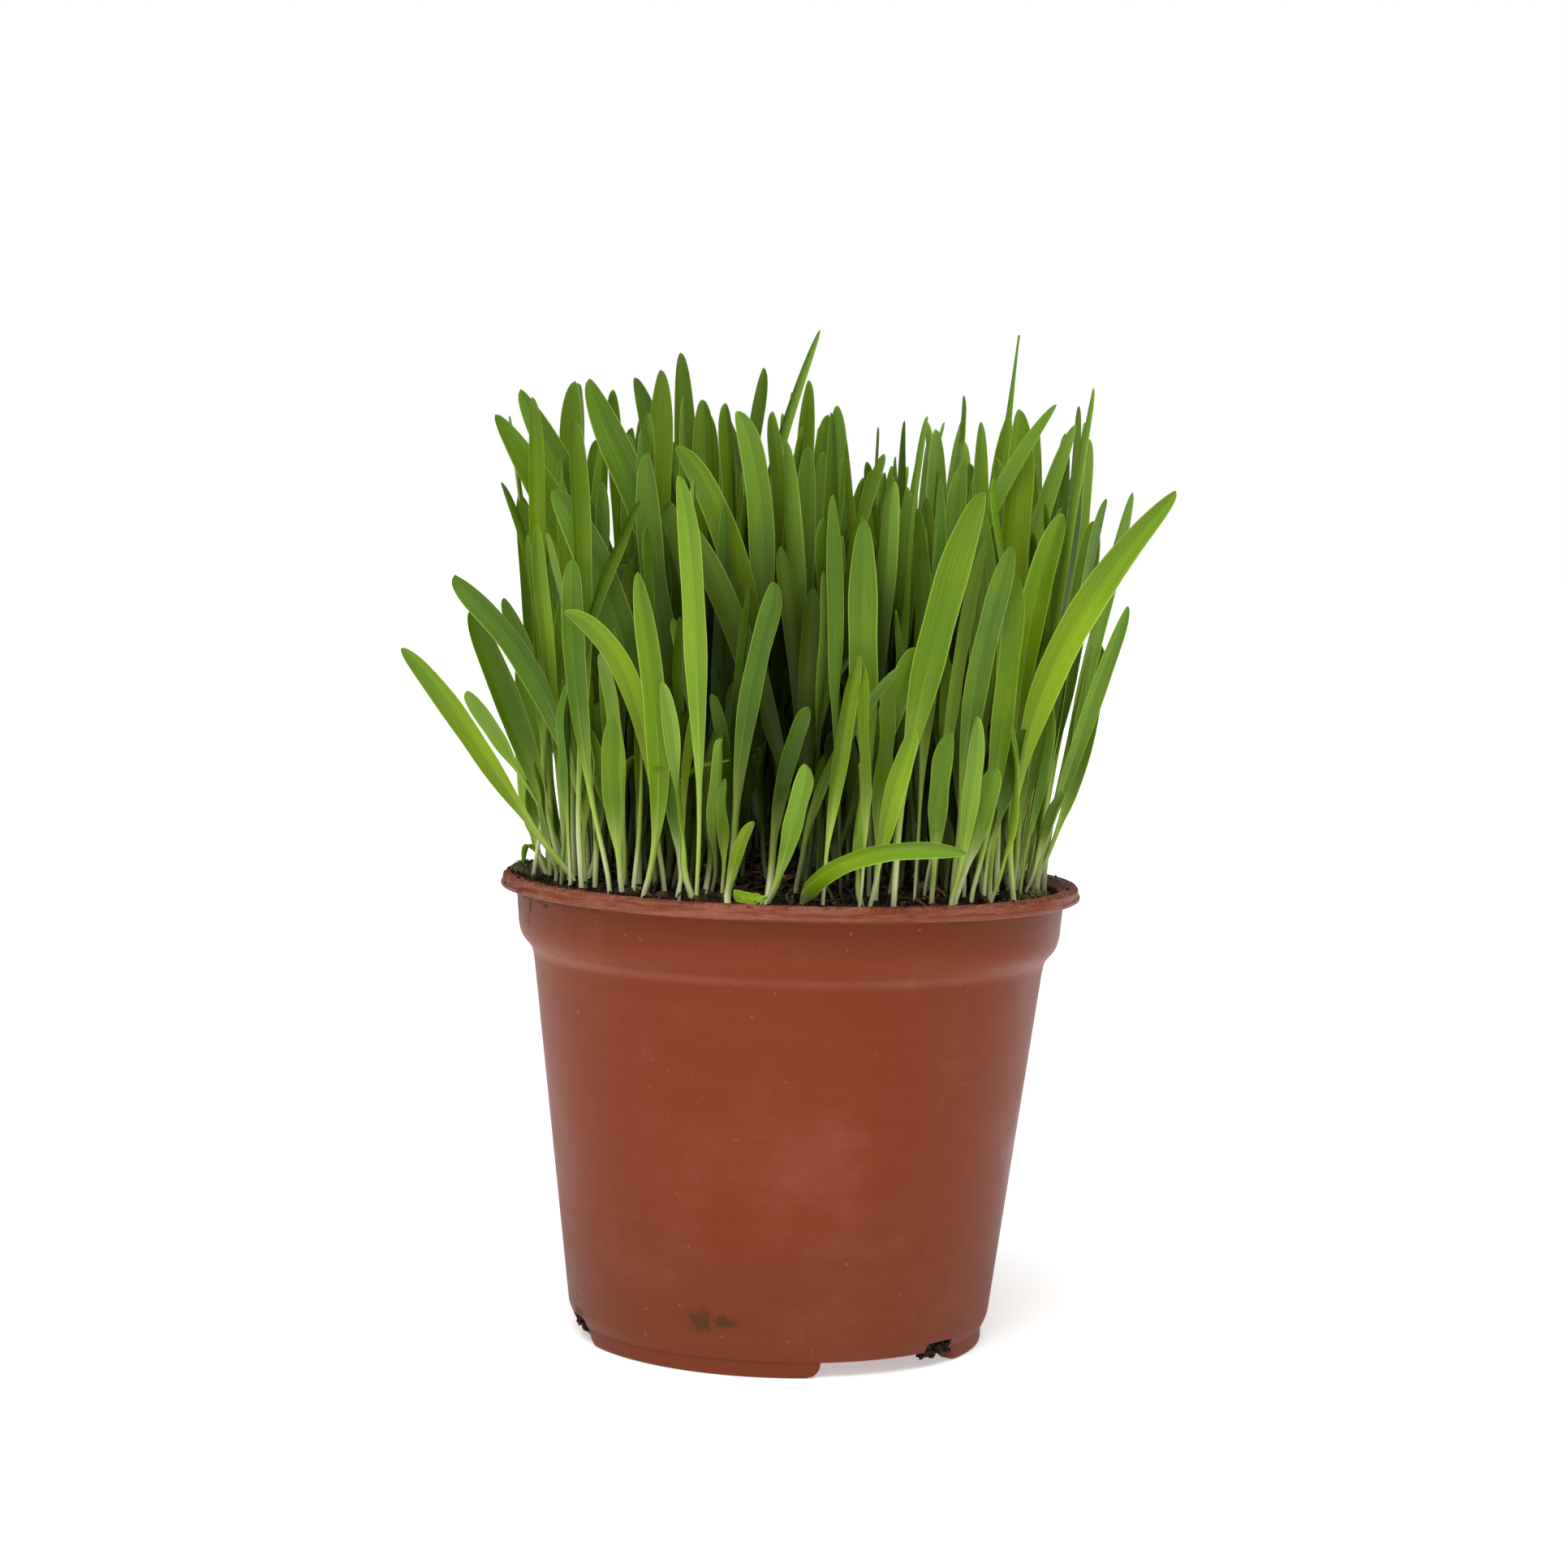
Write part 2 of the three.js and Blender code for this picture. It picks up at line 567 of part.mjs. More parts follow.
function growOtherLeaves(tufts, cells, chosenShoots) {
  const random = makeRandom(SEED);
  let shoots = chosenShoots;
  for (const tuft of tufts) {
    for (let place = 0; place < SHOOTS_IN_TUFT; place++) {
      if (random() < bareness(tuft.x, tuft.y)) continue;
      for (let attempt = 0; attempt < TRIES; attempt++) {
        const leaf = drawnLeaf(tuft, place, random);
        if (!placeLeaf(tuft, leaf, cells, shoots + 1)) continue;
        shoots += 1;
        if (random() < YOUNG_SHARE) placeLeaf(tuft, youngLeaf(leaf, random), cells, shoots);
        break;
      }
    }
  }
}

function growTufts() {
  const tufts = makeTufts();
  const cells = new Int16Array(ROOM_CELLS[0] * ROOM_CELLS[1] * ROOM_CELLS[2]);
  const chosenShoots = growChosenLeaves(tufts, cells);
  growOtherLeaves(tufts, cells, chosenShoots);
  return tufts;
}

// The crown's top follows the soil, a little lower.
function crownSolid(tuft) {
  const low = tuft.top - CROWN.depth;
  const geometry = prism(tuft.x, tuft.y, CROWN.radius, low, tuft.top, CROWN.sides, tuft.angle);
  const place = geometry.attributes.position;
  for (let i = 0; i < place.count; i++) {
    if (place.getZ(i) < tuft.top - 1) continue;
    place.setZ(i, soilTop(place.getX(i), place.getY(i)) - CROWN.sink);
  }
  return solidFromGeometry(geometry);
}

function makeTuft(tuft) {
  let solid = crownSolid(tuft);
  for (const leaf of tuft.leaves) solid = solid.add(leafSolid(leaf));
  return solid;
}

// ---------------------------------------------------------------- the whole part

const potPlastic = new THREE.MeshStandardMaterial({ color: 0x88402a, roughness: 0.45, metalness: 0 });
const pottingSoil = new THREE.MeshStandardMaterial({ color: 0x1d1510, roughness: 1, metalness: 0 });
const grass = new THREE.MeshStandardMaterial({ color: 0x5d7f16, roughness: 0.5, metalness: 0 });

const wheatgrassPot = new THREE.Group();
const tufts = growTufts();
wheatgrassPot.add(meshFromSolid("pot", makePot(), potPlastic));
wheatgrassPot.add(meshFromSolid("soil", makeSoil(tufts), pottingSoil));
tufts.forEach((tuft, index) => {
  const name = `tuft_${String(index + 1).padStart(2, "0")}`;
  wheatgrassPot.add(meshFromSolid(name, makeTuft(tuft), grass));
});

export default wheatgrassPot;
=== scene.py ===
"""A pot of wheatgrass, laid out as an add-on: a plastic nursery pot, potting soil and young wheat.

The shoots follow the rule of the solid model, so each one stands where its solid does. The rule
works in millimetres and degrees; a mesh gets metres when it is made.
"""

import math
from dataclasses import dataclass
from itertools import product
from typing import NamedTuple

import bpy
import numpy as np
from bpy.props import FloatProperty, FloatVectorProperty, IntProperty, PointerProperty
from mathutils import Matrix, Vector, noise


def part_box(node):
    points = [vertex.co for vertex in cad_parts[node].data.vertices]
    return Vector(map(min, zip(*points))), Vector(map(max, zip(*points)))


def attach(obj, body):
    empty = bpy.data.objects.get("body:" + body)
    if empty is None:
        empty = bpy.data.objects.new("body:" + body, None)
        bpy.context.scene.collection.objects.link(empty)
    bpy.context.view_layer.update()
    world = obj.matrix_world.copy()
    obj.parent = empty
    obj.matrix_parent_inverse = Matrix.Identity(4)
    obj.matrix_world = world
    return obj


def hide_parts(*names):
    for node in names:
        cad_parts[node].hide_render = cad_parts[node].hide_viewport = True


bl_info = {
    "name": "Wheatgrass Pot",
    "version": (1, 0, 0),
    "blender": (4, 5, 0),
    "location": "View3D > Sidebar > Wheatgrass",
    "description": "Builds a nursery pot of soil and young wheat over its solid model",
    "category": "Object",
}

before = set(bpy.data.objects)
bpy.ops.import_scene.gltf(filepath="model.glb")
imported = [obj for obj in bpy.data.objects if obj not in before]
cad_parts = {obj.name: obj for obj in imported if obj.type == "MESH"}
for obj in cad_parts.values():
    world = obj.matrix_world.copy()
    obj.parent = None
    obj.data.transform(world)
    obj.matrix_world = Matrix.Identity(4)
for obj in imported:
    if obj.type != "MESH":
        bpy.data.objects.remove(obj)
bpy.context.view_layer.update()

MM = 0.001
FULL_TURN = 2 * math.pi

# ---------------------------------------------------------------- sizes shared with the solids

RIM_RADIUS = 60
POT_HEIGHT = 95.5
FOOT_HEIGHT = 3.2
WALL = 1.2
FEET = 3
FOOT_RING = (38.8, 42.4)
RECESS_WIDTH = 44
FIRST_RECESS = 33.7
SLOT_TURN = 15.5
FLOOR_HOLES = 6
FLOOR_HOLE_RADIUS = 2.6
FLOOR_HOLE_CIRCLE = 24

SOIL_RADIUS = 54.8
SOIL_EDGE = 93.2
SOIL_DOME = 5.2
MOUND_X, MOUND_Y, MOUND_HEIGHT, MOUND_SPREAD = -3, 6, 8, 9

TUFT_RINGS = ((1, 0, 0), (6, 15.8, 8), (12, 31.6, 12), (18, 47.2, 0))  # tufts, radius, turn
LIP_INSIDE = 56
CROWN_RADIUS = 7.3
CROWN_SIDES = 6
CROWN_SINK = 0.4
ROOT_REACH = 4.8
SHOOTS_IN_TUFT = 8
BARE_X, BARE_Y, BARE_SPREAD = 3, -40, 15

CELL = 0.8
ROOM_LOW = np.array((-100, -100, 85))
ROOM_CELLS = (250, 250, 170)
SAMPLE_STEP = 0.4
CROWN_CLEARANCE, SOIL_CLEARANCE, WALL_CLEARANCE, RIM_CLEARANCE = 0.1, 0.4, 0.6, 0.8

TRIES = 120
YOUNG_SHARE = 0.3
BLUNT_SHARE = 0.6
DEPTH_SHIFTS = (0, 1.5, -1.5, 3, -3, 4.5, -4.5, 6, -6, 8, -8)
ROOT_REACHES = (ROOT_REACH, 4.3, 3.7, 3, 2)
TALLEST, TALLEST_WAVE, TALLEST_WAVELENGTH = 93, 6, 86
TALL_SHARE, TALL_SHARE_IN_FRONT = 0.75, 0.25
TALL_HEIGHTS, SHORT_HEIGHTS = (0.8, 1.08), (0.3, 0.8)  # shares of the tallest
FRONT_FROM, FRONT_TO = 20, 45
WIDTHS, YOUNG_WIDTHS, SLENDER_WIDTHS = (4.2, 7), (2.8, 4.2), (3.2, 5)
YOUNG_FROM = 0.25  # a young leaf has left its pale foot behind in the sheath
OUTWARD_LEAN, ANY_LEAN = 0.12, 8
YOUNG_LEAN = 14

SLENDER_LEAVES = 330
UNDERGROWTH = 300
SLENDER_TRIES = 50
SLENDER_REACH, UNDERGROWTH_REACH = 51.5, 44
SLENDER_TIP_REACH = 56.5
SLENDER_HEIGHTS, UNDERGROWTH_HEIGHTS = (0.25, 0.95), (0.2, 0.6)  # shares of the tallest
SLENDER_LEAN = 9
LANE_X, LANE_WIDTH, LANE_END = -4, 15, -8
PATCHES_FROM, PATCH_SCALE, PATCH_LEVEL = -20, 0.13, 0.08
CHOSEN_WILDNESS = 0.3

SOLID_STATIONS = np.array((0, 0.35, 0.65, 0.9, 1))
FACE_DEPTH, KEEL_HEIGHT = 0.45, 0.55  # shares of the solid's thickness, either side of its line
BLUNT_WIDEST, POINTED_WIDEST = 0.72, 0.62


class Stem(NamedTuple):
    """The sheath at the foot of a leaf, and how deep it goes into its crown."""

    width: float
    thickness: float
    sunk: float


SHEATH = Stem(2, 1.7, 3)
YOUNG_SHEATH = Stem(1.4, 1.1, 0)
SLENDER_SHEATH = Stem(1.5, 1.3, 3)


class Green(NamedTuple):
    """A leaf's own green: how light it is, and from waxy blue (0) to sunny yellow (1)."""

    tone: float
    warmth: float


PALE = Green(0.8, 0.42)
SUNNY = Green(0.66, 0.88)
FRESH = Green(0.6, 0.62)
MIDDLE = Green(0.42, 0.48)
WAXY = Green(0.4, 0.06)
DEEP = Green(0.2, 0.4)


@dataclass
class Leaf:
    """A leaf's line runs from its root to its tip and is pulled by its bend point."""

    root: np.ndarray
    bend: np.ndarray
    tip: np.ndarray
    stem: Stem
    width: float
    face: float
    twist: float = 0.0
    roll: float = 0.0
    blunt: bool = False
    threaded: bool = False
    wildness: float = 1.0
    ripe_from: float = 0.0
    opens: float = 0.42
    skew: float | None = None
    green: Green | None = None


@dataclass
class Tuft:
    """The shoots of one crown."""

    x: float
    y: float
    leaves: list


def chosen(root, bend, tip, width, face, roll=0, **looks):
    """A listed leaf, with its facing and its roll in degrees."""
    line = {"root": root, "bend": bend, "tip": tip}
    return {**line, "width": width, "face": face, "roll": roll, "looks": looks}


# The leaves that stand out from the mass: root, bend and tip, then width and facing.
CHOSEN_LEAVES = (
    # leaning out over the left side
    chosen((-43, -23), (-59, -30, 119), (-77, -42, 142), 4.8, 10, green=SUNNY),
    chosen((-39, -19), (-48, -21, 139), (-69, -26, 156), 5.4, -8, blunt=True, green=WAXY),
    chosen((-47, -11), (-52, -15, 121), (-66, -20, 149), 6, 14, green=DEEP),
    chosen((-43, 5), (-47, 3, 126), (-62, 0, 151), 4.2, -5, blunt=True, green=DEEP),
    # leaning out over the right side
    chosen((44, -27), (38, -30, 138), (75, -27, 176), 6.6, 6, green=SUNNY),
    chosen((43, -20), (44, -23, 150), (52, -23, 172), 5.8, -7, green=FRESH),
    chosen((52, -4), (60, -5, 140), (67, -6, 177), 4, 20),
    chosen((50, -16), (57, -19, 127), (66, -22, 154), 3.8, 10),
    # the tall group on the left
    chosen((-31, -5), (-25, -5, 135), (-63, -6, 189), 8, 8, green=MIDDLE),
    chosen((-36, 5), (-27, 6, 149), (-60, 6, 194), 6.5, -6, blunt=True, green=WAXY),
    chosen((-43, 12), (-45, 13, 151), (-50, 14, 197), 5.8, 4, blunt=True),
    chosen((-22, -10), (-17, -10, 150), (-45, -10, 196), 6.8, 12, blunt=True, green=WAXY),
    chosen((-28, -24), (-31, -26, 150), (-49, -27, 174), 8, -10, green=WAXY),
    chosen((-21, 16), (-23, 17, 156), (-26, 18, 204), 5.2, 6, green=DEEP),
    chosen((-25, 4), (-18, 5, 152), (-35, 6, 198), 5.3, -12, blunt=True),
    chosen((-18, 22), (-19, 23, 150), (-20, 24, 192), 4.8, 0, blunt=True),
    chosen((-49, 10), (-53, 11, 137), (-59, 12, 173), 4.2, 9, blunt=True),
    # broad leaves in front of the middle
    chosen((-8, -15), (-4, -15, 165), (-13, -14, 191), 5.8, 6, green=PALE),
    chosen((-2, -20), (-7, -21, 157), (-24, -22, 184), 6.3, -9, green=SUNNY),
    chosen((0, -25), (-5, -26, 136), (-22, -29, 168), 5.8, 12, green=SUNNY),
    chosen((2, -10), (0, -11, 144), (1, -12, 184), 5, -3, blunt=True, green=MIDDLE),
    chosen((13, -12), (10, -12, 148), (14, -12, 180), 4.8, 14, blunt=True),
    chosen((20, -8), (19, -8, 141), (18, -8, 176), 5, -8),
    # the front row, from the left
    chosen((-35, -36), (-45, -39, 138), (-45, -40, 160), 4.8, 16, green=WAXY),
    chosen((-29, -41), (-22, -45, 112), (-32, -49, 158), 5.2, 8, green=FRESH),
    chosen((-26, -38), (-26, -39, 139), (-45, -42, 151), 5, -6, green=SUNNY),
    chosen((-33, -40), (-36, -43, 113), (-35, -44, 130), 4.2, -14, blunt=True, green=DEEP),
    chosen((-18, -49), (-18, -49, 140), (-23, -48, 177), 5, 5, green=PALE),
    chosen((-12, -43), (-10, -43, 133), (-5, -44, 157), 4.6, 18, blunt=True, green=WAXY),
    chosen((-4, -45), (-3, -43, 122), (2, -41, 133), 3.4, 0, blunt=True, green=WAXY),
    chosen((-4, -49), (-1, -51, 108), (3, -53, 122), 4, -10, blunt=True, green=PALE),
    chosen((-12, -48), (-11, -50, 104), (-8, -49, 111), 2.6, 0),
    chosen((1, -43), (3, -47, 121), (19, -50, 142), 2.6, 24, green=WAXY),
    chosen((7, -36), (15, -40, 126), (23, -43, 145), 5.4, 6, blunt=True, green=FRESH),
    chosen((1, -50), (6, -56, 108), (33, -60, 107), 3.8, 90, 62, opens=0.12, ripe_from=0.3, green=FRESH),
    chosen((15, -50), (18, -53, 114), (23, -55, 130), 4.6, 10, green=SUNNY),
    chosen((22, -49), (22, -48, 142), (34, -42, 176), 7.2, -8, green=MIDDLE),
    chosen((27, -40), (28, -46, 113), (29, -47, 129), 4.4, 9, blunt=True, green=MIDDLE),
    chosen((31, -41), (35, -45, 114), (36, -48, 132), 3.6, -12),
    chosen((32, -32), (33, -37, 133), (41, -42, 165), 5, 14, blunt=True, green=WAXY),
    chosen((34, -39), (37, -43, 110), (39, -47, 122), 4.2, 0, blunt=True),
    chosen((35, -35), (42, -37, 124), (43, -38, 160), 4.8, -10, blunt=True, green=MIDDLE),
    # the tall group on the right, and the two longest spikes
    chosen((38, 6), (38, 7, 156), (44, 8, 209), 4.8, 12, threaded=True),
    chosen((31, -18), (18, -19, 144), (50, -18, 194), 3.6, -4, blunt=True),
    chosen((52, 9), (57, 10, 145), (60, 10, 188), 4.4, 8, blunt=True),
    chosen((47, 5), (35, 6, 131), (56, 8, 191), 4, 15, blunt=True),
    chosen((6, 20), (5, 21, 150), (4, 22, 192), 4.6, -8, blunt=True),
    chosen((-9, 2), (-18, 3, 152), (2, 5, 209), 2.8, 30),
    chosen((-9, 12), (-17, 13, 155), (-8, 14, 201), 3.2, 10, blunt=True),
)

# Leaves without a solid that close the mass at its left and right edges.
EDGE_LEAVES = (
    chosen((-47, 4), (-53, 5, 132), (-58, 5, 172), 5.4, 5, blunt=True, green=DEEP),
    chosen((-40, 10), (-42, 12, 140), (-43.5, 12, 185), 5.6, -6, blunt=True, green=MIDDLE),
    chosen((-34, 16), (-36, 19, 142), (-37, 20, 188), 4.8, 8, blunt=True, green=WAXY),
    chosen((-27, 10), (-28, 12, 140), (-28.7, 12, 185), 5, 0, blunt=True, green=MIDDLE),
    chosen((-49, -6), (-54, -6, 118), (-57, -5, 140), 4.5, 8, green=MIDDLE),
    chosen((-51, -4), (-54, -4, 110), (-53, -4, 123), 4.2, 10, blunt=True, green=DEEP),
    chosen((-40, -14), (-42, -14, 118), (-46, -13, 150), 4.8, -10, green=DEEP),
    chosen((49, 2), (55, 1, 130), (60, 0, 171), 5.2, 4, blunt=True, green=WAXY),
    chosen((44, 10), (46, 10, 140), (48, 10, 183), 5, -8, blunt=True, green=MIDDLE),
    chosen((50, -6), (58, -6, 118), (63, -4, 146), 5, 6, green=DEEP),
    chosen((47, 8), (53, 10, 140), (55, 11, 189), 3.8, 5, blunt=True, green=WAXY),
    chosen((44, -14), (48, -15, 124), (53, -14, 152), 5, 12, green=MIDDLE),
)

# More leaves without a solid: one off the outermost leaf, one at the edge, and a curled stub.
LOOSE_LEAVES = (
    chosen((-50.5, -29, 111), (-58, -34, 124), (-65, -38, 134), 3.4, 10, ripe_from=0.4),
    chosen((-49, 3, 93), (-56.5, 3, 106), (-56, 2, 96), 1.8, 40, ripe_from=0.05, green=PALE),
    chosen(
        (-4.6, -54.8, 96.9), (-7.6, -55.9, 95.9), (-11.2, -55.7, 96.3), 2.7, 90, -62,
        blunt=True, skew=1, opens=0.2, ripe_from=0.35, green=SUNNY,
    ),
)

# ---------------------------------------------------------------- small helpers


def mix(low, high, share):
    return low + (high - low) * share


def swing(reach, random):
    """A random number as far as reach to either side of 0."""
    return mix(-reach, reach, random())


def smoothstep(low, high, value):
    share = np.clip((value - low) / (high - low), 0, 1)
    return share * share * (3 - 2 * share)


def around(radius, angle):
    """The point at a radius and an angle from the front, turning towards +X."""
    return radius * math.sin(angle), -radius * math.cos(angle)


def make_random(seed):
    """Repeatable random numbers from 0 to 1, the same as the solid model draws."""
    state = seed

    def draw():
        nonlocal state
        state = (state * 1664525 + 1013904223) & 0xFFFFFFFF
        return state / 4294967296

    return draw


def unit(vectors):
    return vectors / np.linalg.norm(vectors, axis=-1, keepdims=True)


def paint(red, green, blue):
    """A colour as Blender keeps it, from its everyday 0 to 255 values."""
    def linear(value):
        share = value / 255
        return share / 12.92 if share <= 0.04045 else ((share + 0.055) / 1.055) ** 2.4

    return linear(red), linear(green), linear(blue)


def between_colours(low, high, share):
    return [mix(a, b, share) for a, b in zip(low, high)]


def soil_top(x, y):
    """The soil's height: a dome with a mound near its middle and low lumps."""
    share = np.minimum(1, np.hypot(x, y) / SOIL_RADIUS)
    away = np.hypot(x - MOUND_X, y - MOUND_Y) / MOUND_SPREAD
    mound = MOUND_HEIGHT * np.exp(-away * away / 2)
    lumps = 0.4 * np.sin(0.31 * x + 1.1) * np.cos(0.27 * y - 0.4)
    return SOIL_EDGE + SOIL_DOME * (1 - share * share) + mound + lumps


# ---------------------------------------------------------------- the form of a leaf


def leaf_line(leaf, t):
    """Points on the leaf's line, at shares of its way from 0 at the root to 1 at the tip."""
    t = np.atleast_1d(t)[:, None]
    return (1 - t) * (1 - t) * leaf.root + 2 * (1 - t) * t * leaf.bend + t * t * leaf.tip


def leaf_axes(leaf, t):
    """Along the leaf, across its blade, and out of its back."""
    column = t[:, None]
    along = unit((leaf.bend - leaf.root) * (1 - column) + (leaf.tip - leaf.bend) * column)
    facing = leaf.face + leaf.twist * t
    across = np.stack((np.cos(facing), np.sin(facing), np.zeros_like(t)), axis=1)
    across = unit(across - along * np.sum(across * along, axis=1, keepdims=True))
    back = np.cross(along, across)
    across = across * math.cos(leaf.roll) + back * math.sin(leaf.roll)
    return along, across, np.cross(along, across)


def leaf_width(leaf, t):
    """The solid's width: a narrow sheath, the widest part past the middle, a blunt or a long tip."""
    widest = BLUNT_WIDEST if leaf.blunt else POINTED_WIDEST
    body = mix(leaf.stem.width, leaf.width, smoothstep(0.2, widest, t))
    past = np.clip((t - widest) / (1 - widest), 0, 1)
    if leaf.blunt:
        return body * np.sqrt(1 - 0.93 * past**3)
    return body * (1 - 0.88 * past**1.5)


def leaf_thickness(leaf, t):
    """The solid's thickness, from a round sheath to a thin tip."""
    body = mix(leaf.stem.thickness, 1.2, smoothstep(0.1, 0.5, t))
    return mix(body, 0.7, smoothstep(0.75, 1, t))


def solid_sections(leaf):
    """The left edge, right edge and keel of the leaf's solid at its stations."""
    t = SOLID_STATIONS
    centre = leaf_line(leaf, t)
    centre[0, 2] -= leaf.stem.sunk
    _, across, back = leaf_axes(leaf, t)
    half = leaf_width(leaf, t)[:, None] / 2
    thick = leaf_thickness(leaf, t)[:, None]
    face = centre - FACE_DEPTH * thick * back
    return face - across * half, face + across * half, centre + KEEL_HEIGHT * thick * back


# ---------------------------------------------------------------- room between the shoots


def shares_between(start, end):
    """Shares from 0 to 1 that are close enough together for that stretch."""
    count = math.ceil(np.linalg.norm(end - start, axis=-1).max() / SAMPLE_STEP)
    return np.arange(count + 1) / count


def keel_samples(keel):
    """Points close together along a leaf's keel."""
    stretches = zip(keel, keel[1:])
    return np.concatenate([mix(low, high, shares_between(low, high)[:, None]) for low, high in stretches])


def face_samples(left, right, keel):
    """Points close together all over a leaf's face."""
    samples = []
    for s in range(len(keel) - 1):
        down = shares_between(keel[s], keel[s + 1])[:, None]
        over = shares_between(left[s : s + 2], right[s : s + 2])[None, :, None]
        row_left = mix(left[s], left[s + 1], down)
        row_right = mix(right[s], right[s + 1], down)
        samples.append(mix(row_left[:, None], row_right[:, None], over).reshape(-1, 3))
    return np.concatenate(samples)


def hits_rim(x, y, z):
    """Whether any of these points is in the pot's wall or lip, or too close to it."""
    return np.any((np.hypot(x, y) > SOIL_RADIUS - WALL_CLEARANCE) & (z < POT_HEIGHT + RIM_CLEARANCE))


class Room:
    """Space as a grid of small cells. A shoot claims the cells that its leaves pass through."""

    def __init__(self):
        self.cells = np.zeros(ROOM_CELLS, np.int16)
        self.is_filled = np.zeros(ROOM_CELLS, bool)

    def cells_of(self, samples):
        return np.floor((samples - ROOM_LOW) / CELL).astype(int).T

    def is_clear(self, samples, tuft, shoot):
        x, y, z = samples.T
        crown_inside = CROWN_RADIUS * math.cos(math.pi / CROWN_SIDES) + CROWN_CLEARANCE
        is_off_crown = np.hypot(x - tuft.x, y - tuft.y) > crown_inside
        if np.any(is_off_crown & (z - soil_top(x, y) < SOIL_CLEARANCE)) or hits_rim(x, y, z):
            return False
        owners = self.cells[tuple(self.cells_of(samples))]
        return not np.any((owners != 0) & (owners != shoot))

    def is_free(self, samples):
        """Whether no leaf is there. Unlike is_clear, it asks for no gap between the leaves."""
        x, y, z = samples.T
        if hits_rim(x, y, z):
            return False
        above = samples[z > soil_top(x, y)]
        return not np.any(self.is_filled[tuple(self.cells_of(above))])

    def fill(self, samples):
        self.is_filled[tuple(self.cells_of(samples))] = True

    def claim(self, samples, shoot):
        self.fill(samples)
        i, j, k = np.unique(self.cells_of(samples), axis=1)
        for di, dj, dk in product((-1, 0, 1), repeat=3):
            near = (i + di, j + dj, k + dk)
            owners = self.cells[near]
            self.cells[near] = np.where(owners == 0, shoot, owners)


# ---------------------------------------------------------------- how the tufts grow


def make_tufts():
    """The empty tufts, which stand in rings."""
    tufts = []
    for count, radius, turn in TUFT_RINGS:
        for i in range(count):
            x, y = around(radius, math.radians(turn) + i * FULL_TURN / count)
            tufts.append(Tuft(x, y, []))
    return tufts


def nearest_tuft(tufts, root):
    """The tuft that a root belongs to."""
    return min(tufts, key=lambda tuft: math.hypot(tuft.x - root[0], tuft.y - root[1]))


def root_at(x, y):
    return np.array((x, y, float(soil_top(x, y)) - CROWN_SINK))


def root_in(tuft, x, y, reach=ROOT_REACH):
    """Puts a root into its tuft's crown, no further than reach from the middle."""
    away = math.hypot(x - tuft.x, y - tuft.y)
    share = min(1, reach / max(away, 0.001))
    return root_at(tuft.x + (x - tuft.x) * share, tuft.y + (y - tuft.y) * share)


def chosen_leaf(choice, root, shift=0, stem=SHEATH):
    return Leaf(
        root=root,
        bend=np.array(choice["bend"], float) + (0, shift / 2, 0),
        tip=np.array(choice["tip"], float) + (0, shift, 0),
        stem=stem,
        width=choice["width"],
        face=math.radians(choice["face"]),
        roll=math.radians(choice["roll"]),
        wildness=CHOSEN_WILDNESS,
        **choice["looks"],
    )


def bareness(x, y):
    """How likely a place is to stay empty, most of all at the middle of the front."""
    away = math.hypot(x - BARE_X, y - BARE_Y) / BARE_SPREAD
    return math.exp(-away * away / 2)


def is_bare(root):
    """Whether a place is in the bare lane at the front, or in a bare patch of the front half."""
    x, y, _ = root
    is_in_lane = abs(x - LANE_X) < LANE_WIDTH / 2 and y < LANE_END
    return is_in_lane or y < PATCHES_FROM and noise.noise(Vector((x, y, 0)) * PATCH_SCALE) > PATCH_LEVEL


def drawn_leaf(tuft, place, random):
    """One try at a shoot. It always draws the same number of random numbers, in the same order."""
    angle = place * FULL_TURN / (SHOOTS_IN_TUFT - 1) + random() * 0.9
    radius = random() * 1.2 if place == 0 else ROOT_REACH - random() * 0.9
    root = root_in(tuft, tuft.x + radius * math.cos(angle), tuft.y + radius * math.sin(angle))
    wave = math.cos(FULL_TURN * root[0] / TALLEST_WAVELENGTH)
    tallest = TALLEST - TALLEST_WAVE * wave
    in_front = smoothstep(FRONT_FROM, FRONT_TO, -root[1])
    is_tall = random() < mix(TALL_SHARE, TALL_SHARE_IN_FRONT, in_front)
    share = mix(*(TALL_HEIGHTS if is_tall else SHORT_HEIGHTS), random())
    lean_x = share * (root[0] * OUTWARD_LEAN + swing(ANY_LEAN, random))
    lean_y = share * (root[1] * OUTWARD_LEAN + swing(ANY_LEAN, random))
    bow = mix(0.1, 0.5, random())
    rise = tallest * share * mix(0.5, 0.62, random())
    return Leaf(
        root=root,
        bend=root + (lean_x * bow, lean_y * bow, rise),
        tip=root + (lean_x, lean_y, tallest * share),
        stem=SHEATH,
        width=mix(*WIDTHS, random()) * mix(0.75, 1, share),
        face=math.atan2(lean_y, lean_x) + math.pi / 2 + swing(1, random),
        twist=swing(0.7, random),
        blunt=random() < BLUNT_SHARE,
    )


def young_leaf(first, random):
    """A young leaf comes out of the sheath of a shoot's first leaf and stands up beside it."""
    root = leaf_line(first, mix(0.22, 0.4, random()))[0]
    height = (first.tip[2] - root[2]) * mix(0.5, 0.9, random())
    lean_x = swing(YOUNG_LEAN, random)
    lean_y = swing(YOUNG_LEAN, random)
    carried = (first.bend - first.root) * (0.6, 0.6, 0)
    return Leaf(
        root=root,
        bend=root + carried + (0, 0, height * 0.5),
        tip=root + (lean_x, lean_y, height),
        stem=YOUNG_SHEATH,
        width=mix(*YOUNG_WIDTHS, random()),
        face=first.face + first.twist * 0.3,
        twist=swing(0.9, random),
        ripe_from=YOUNG_FROM,
    )


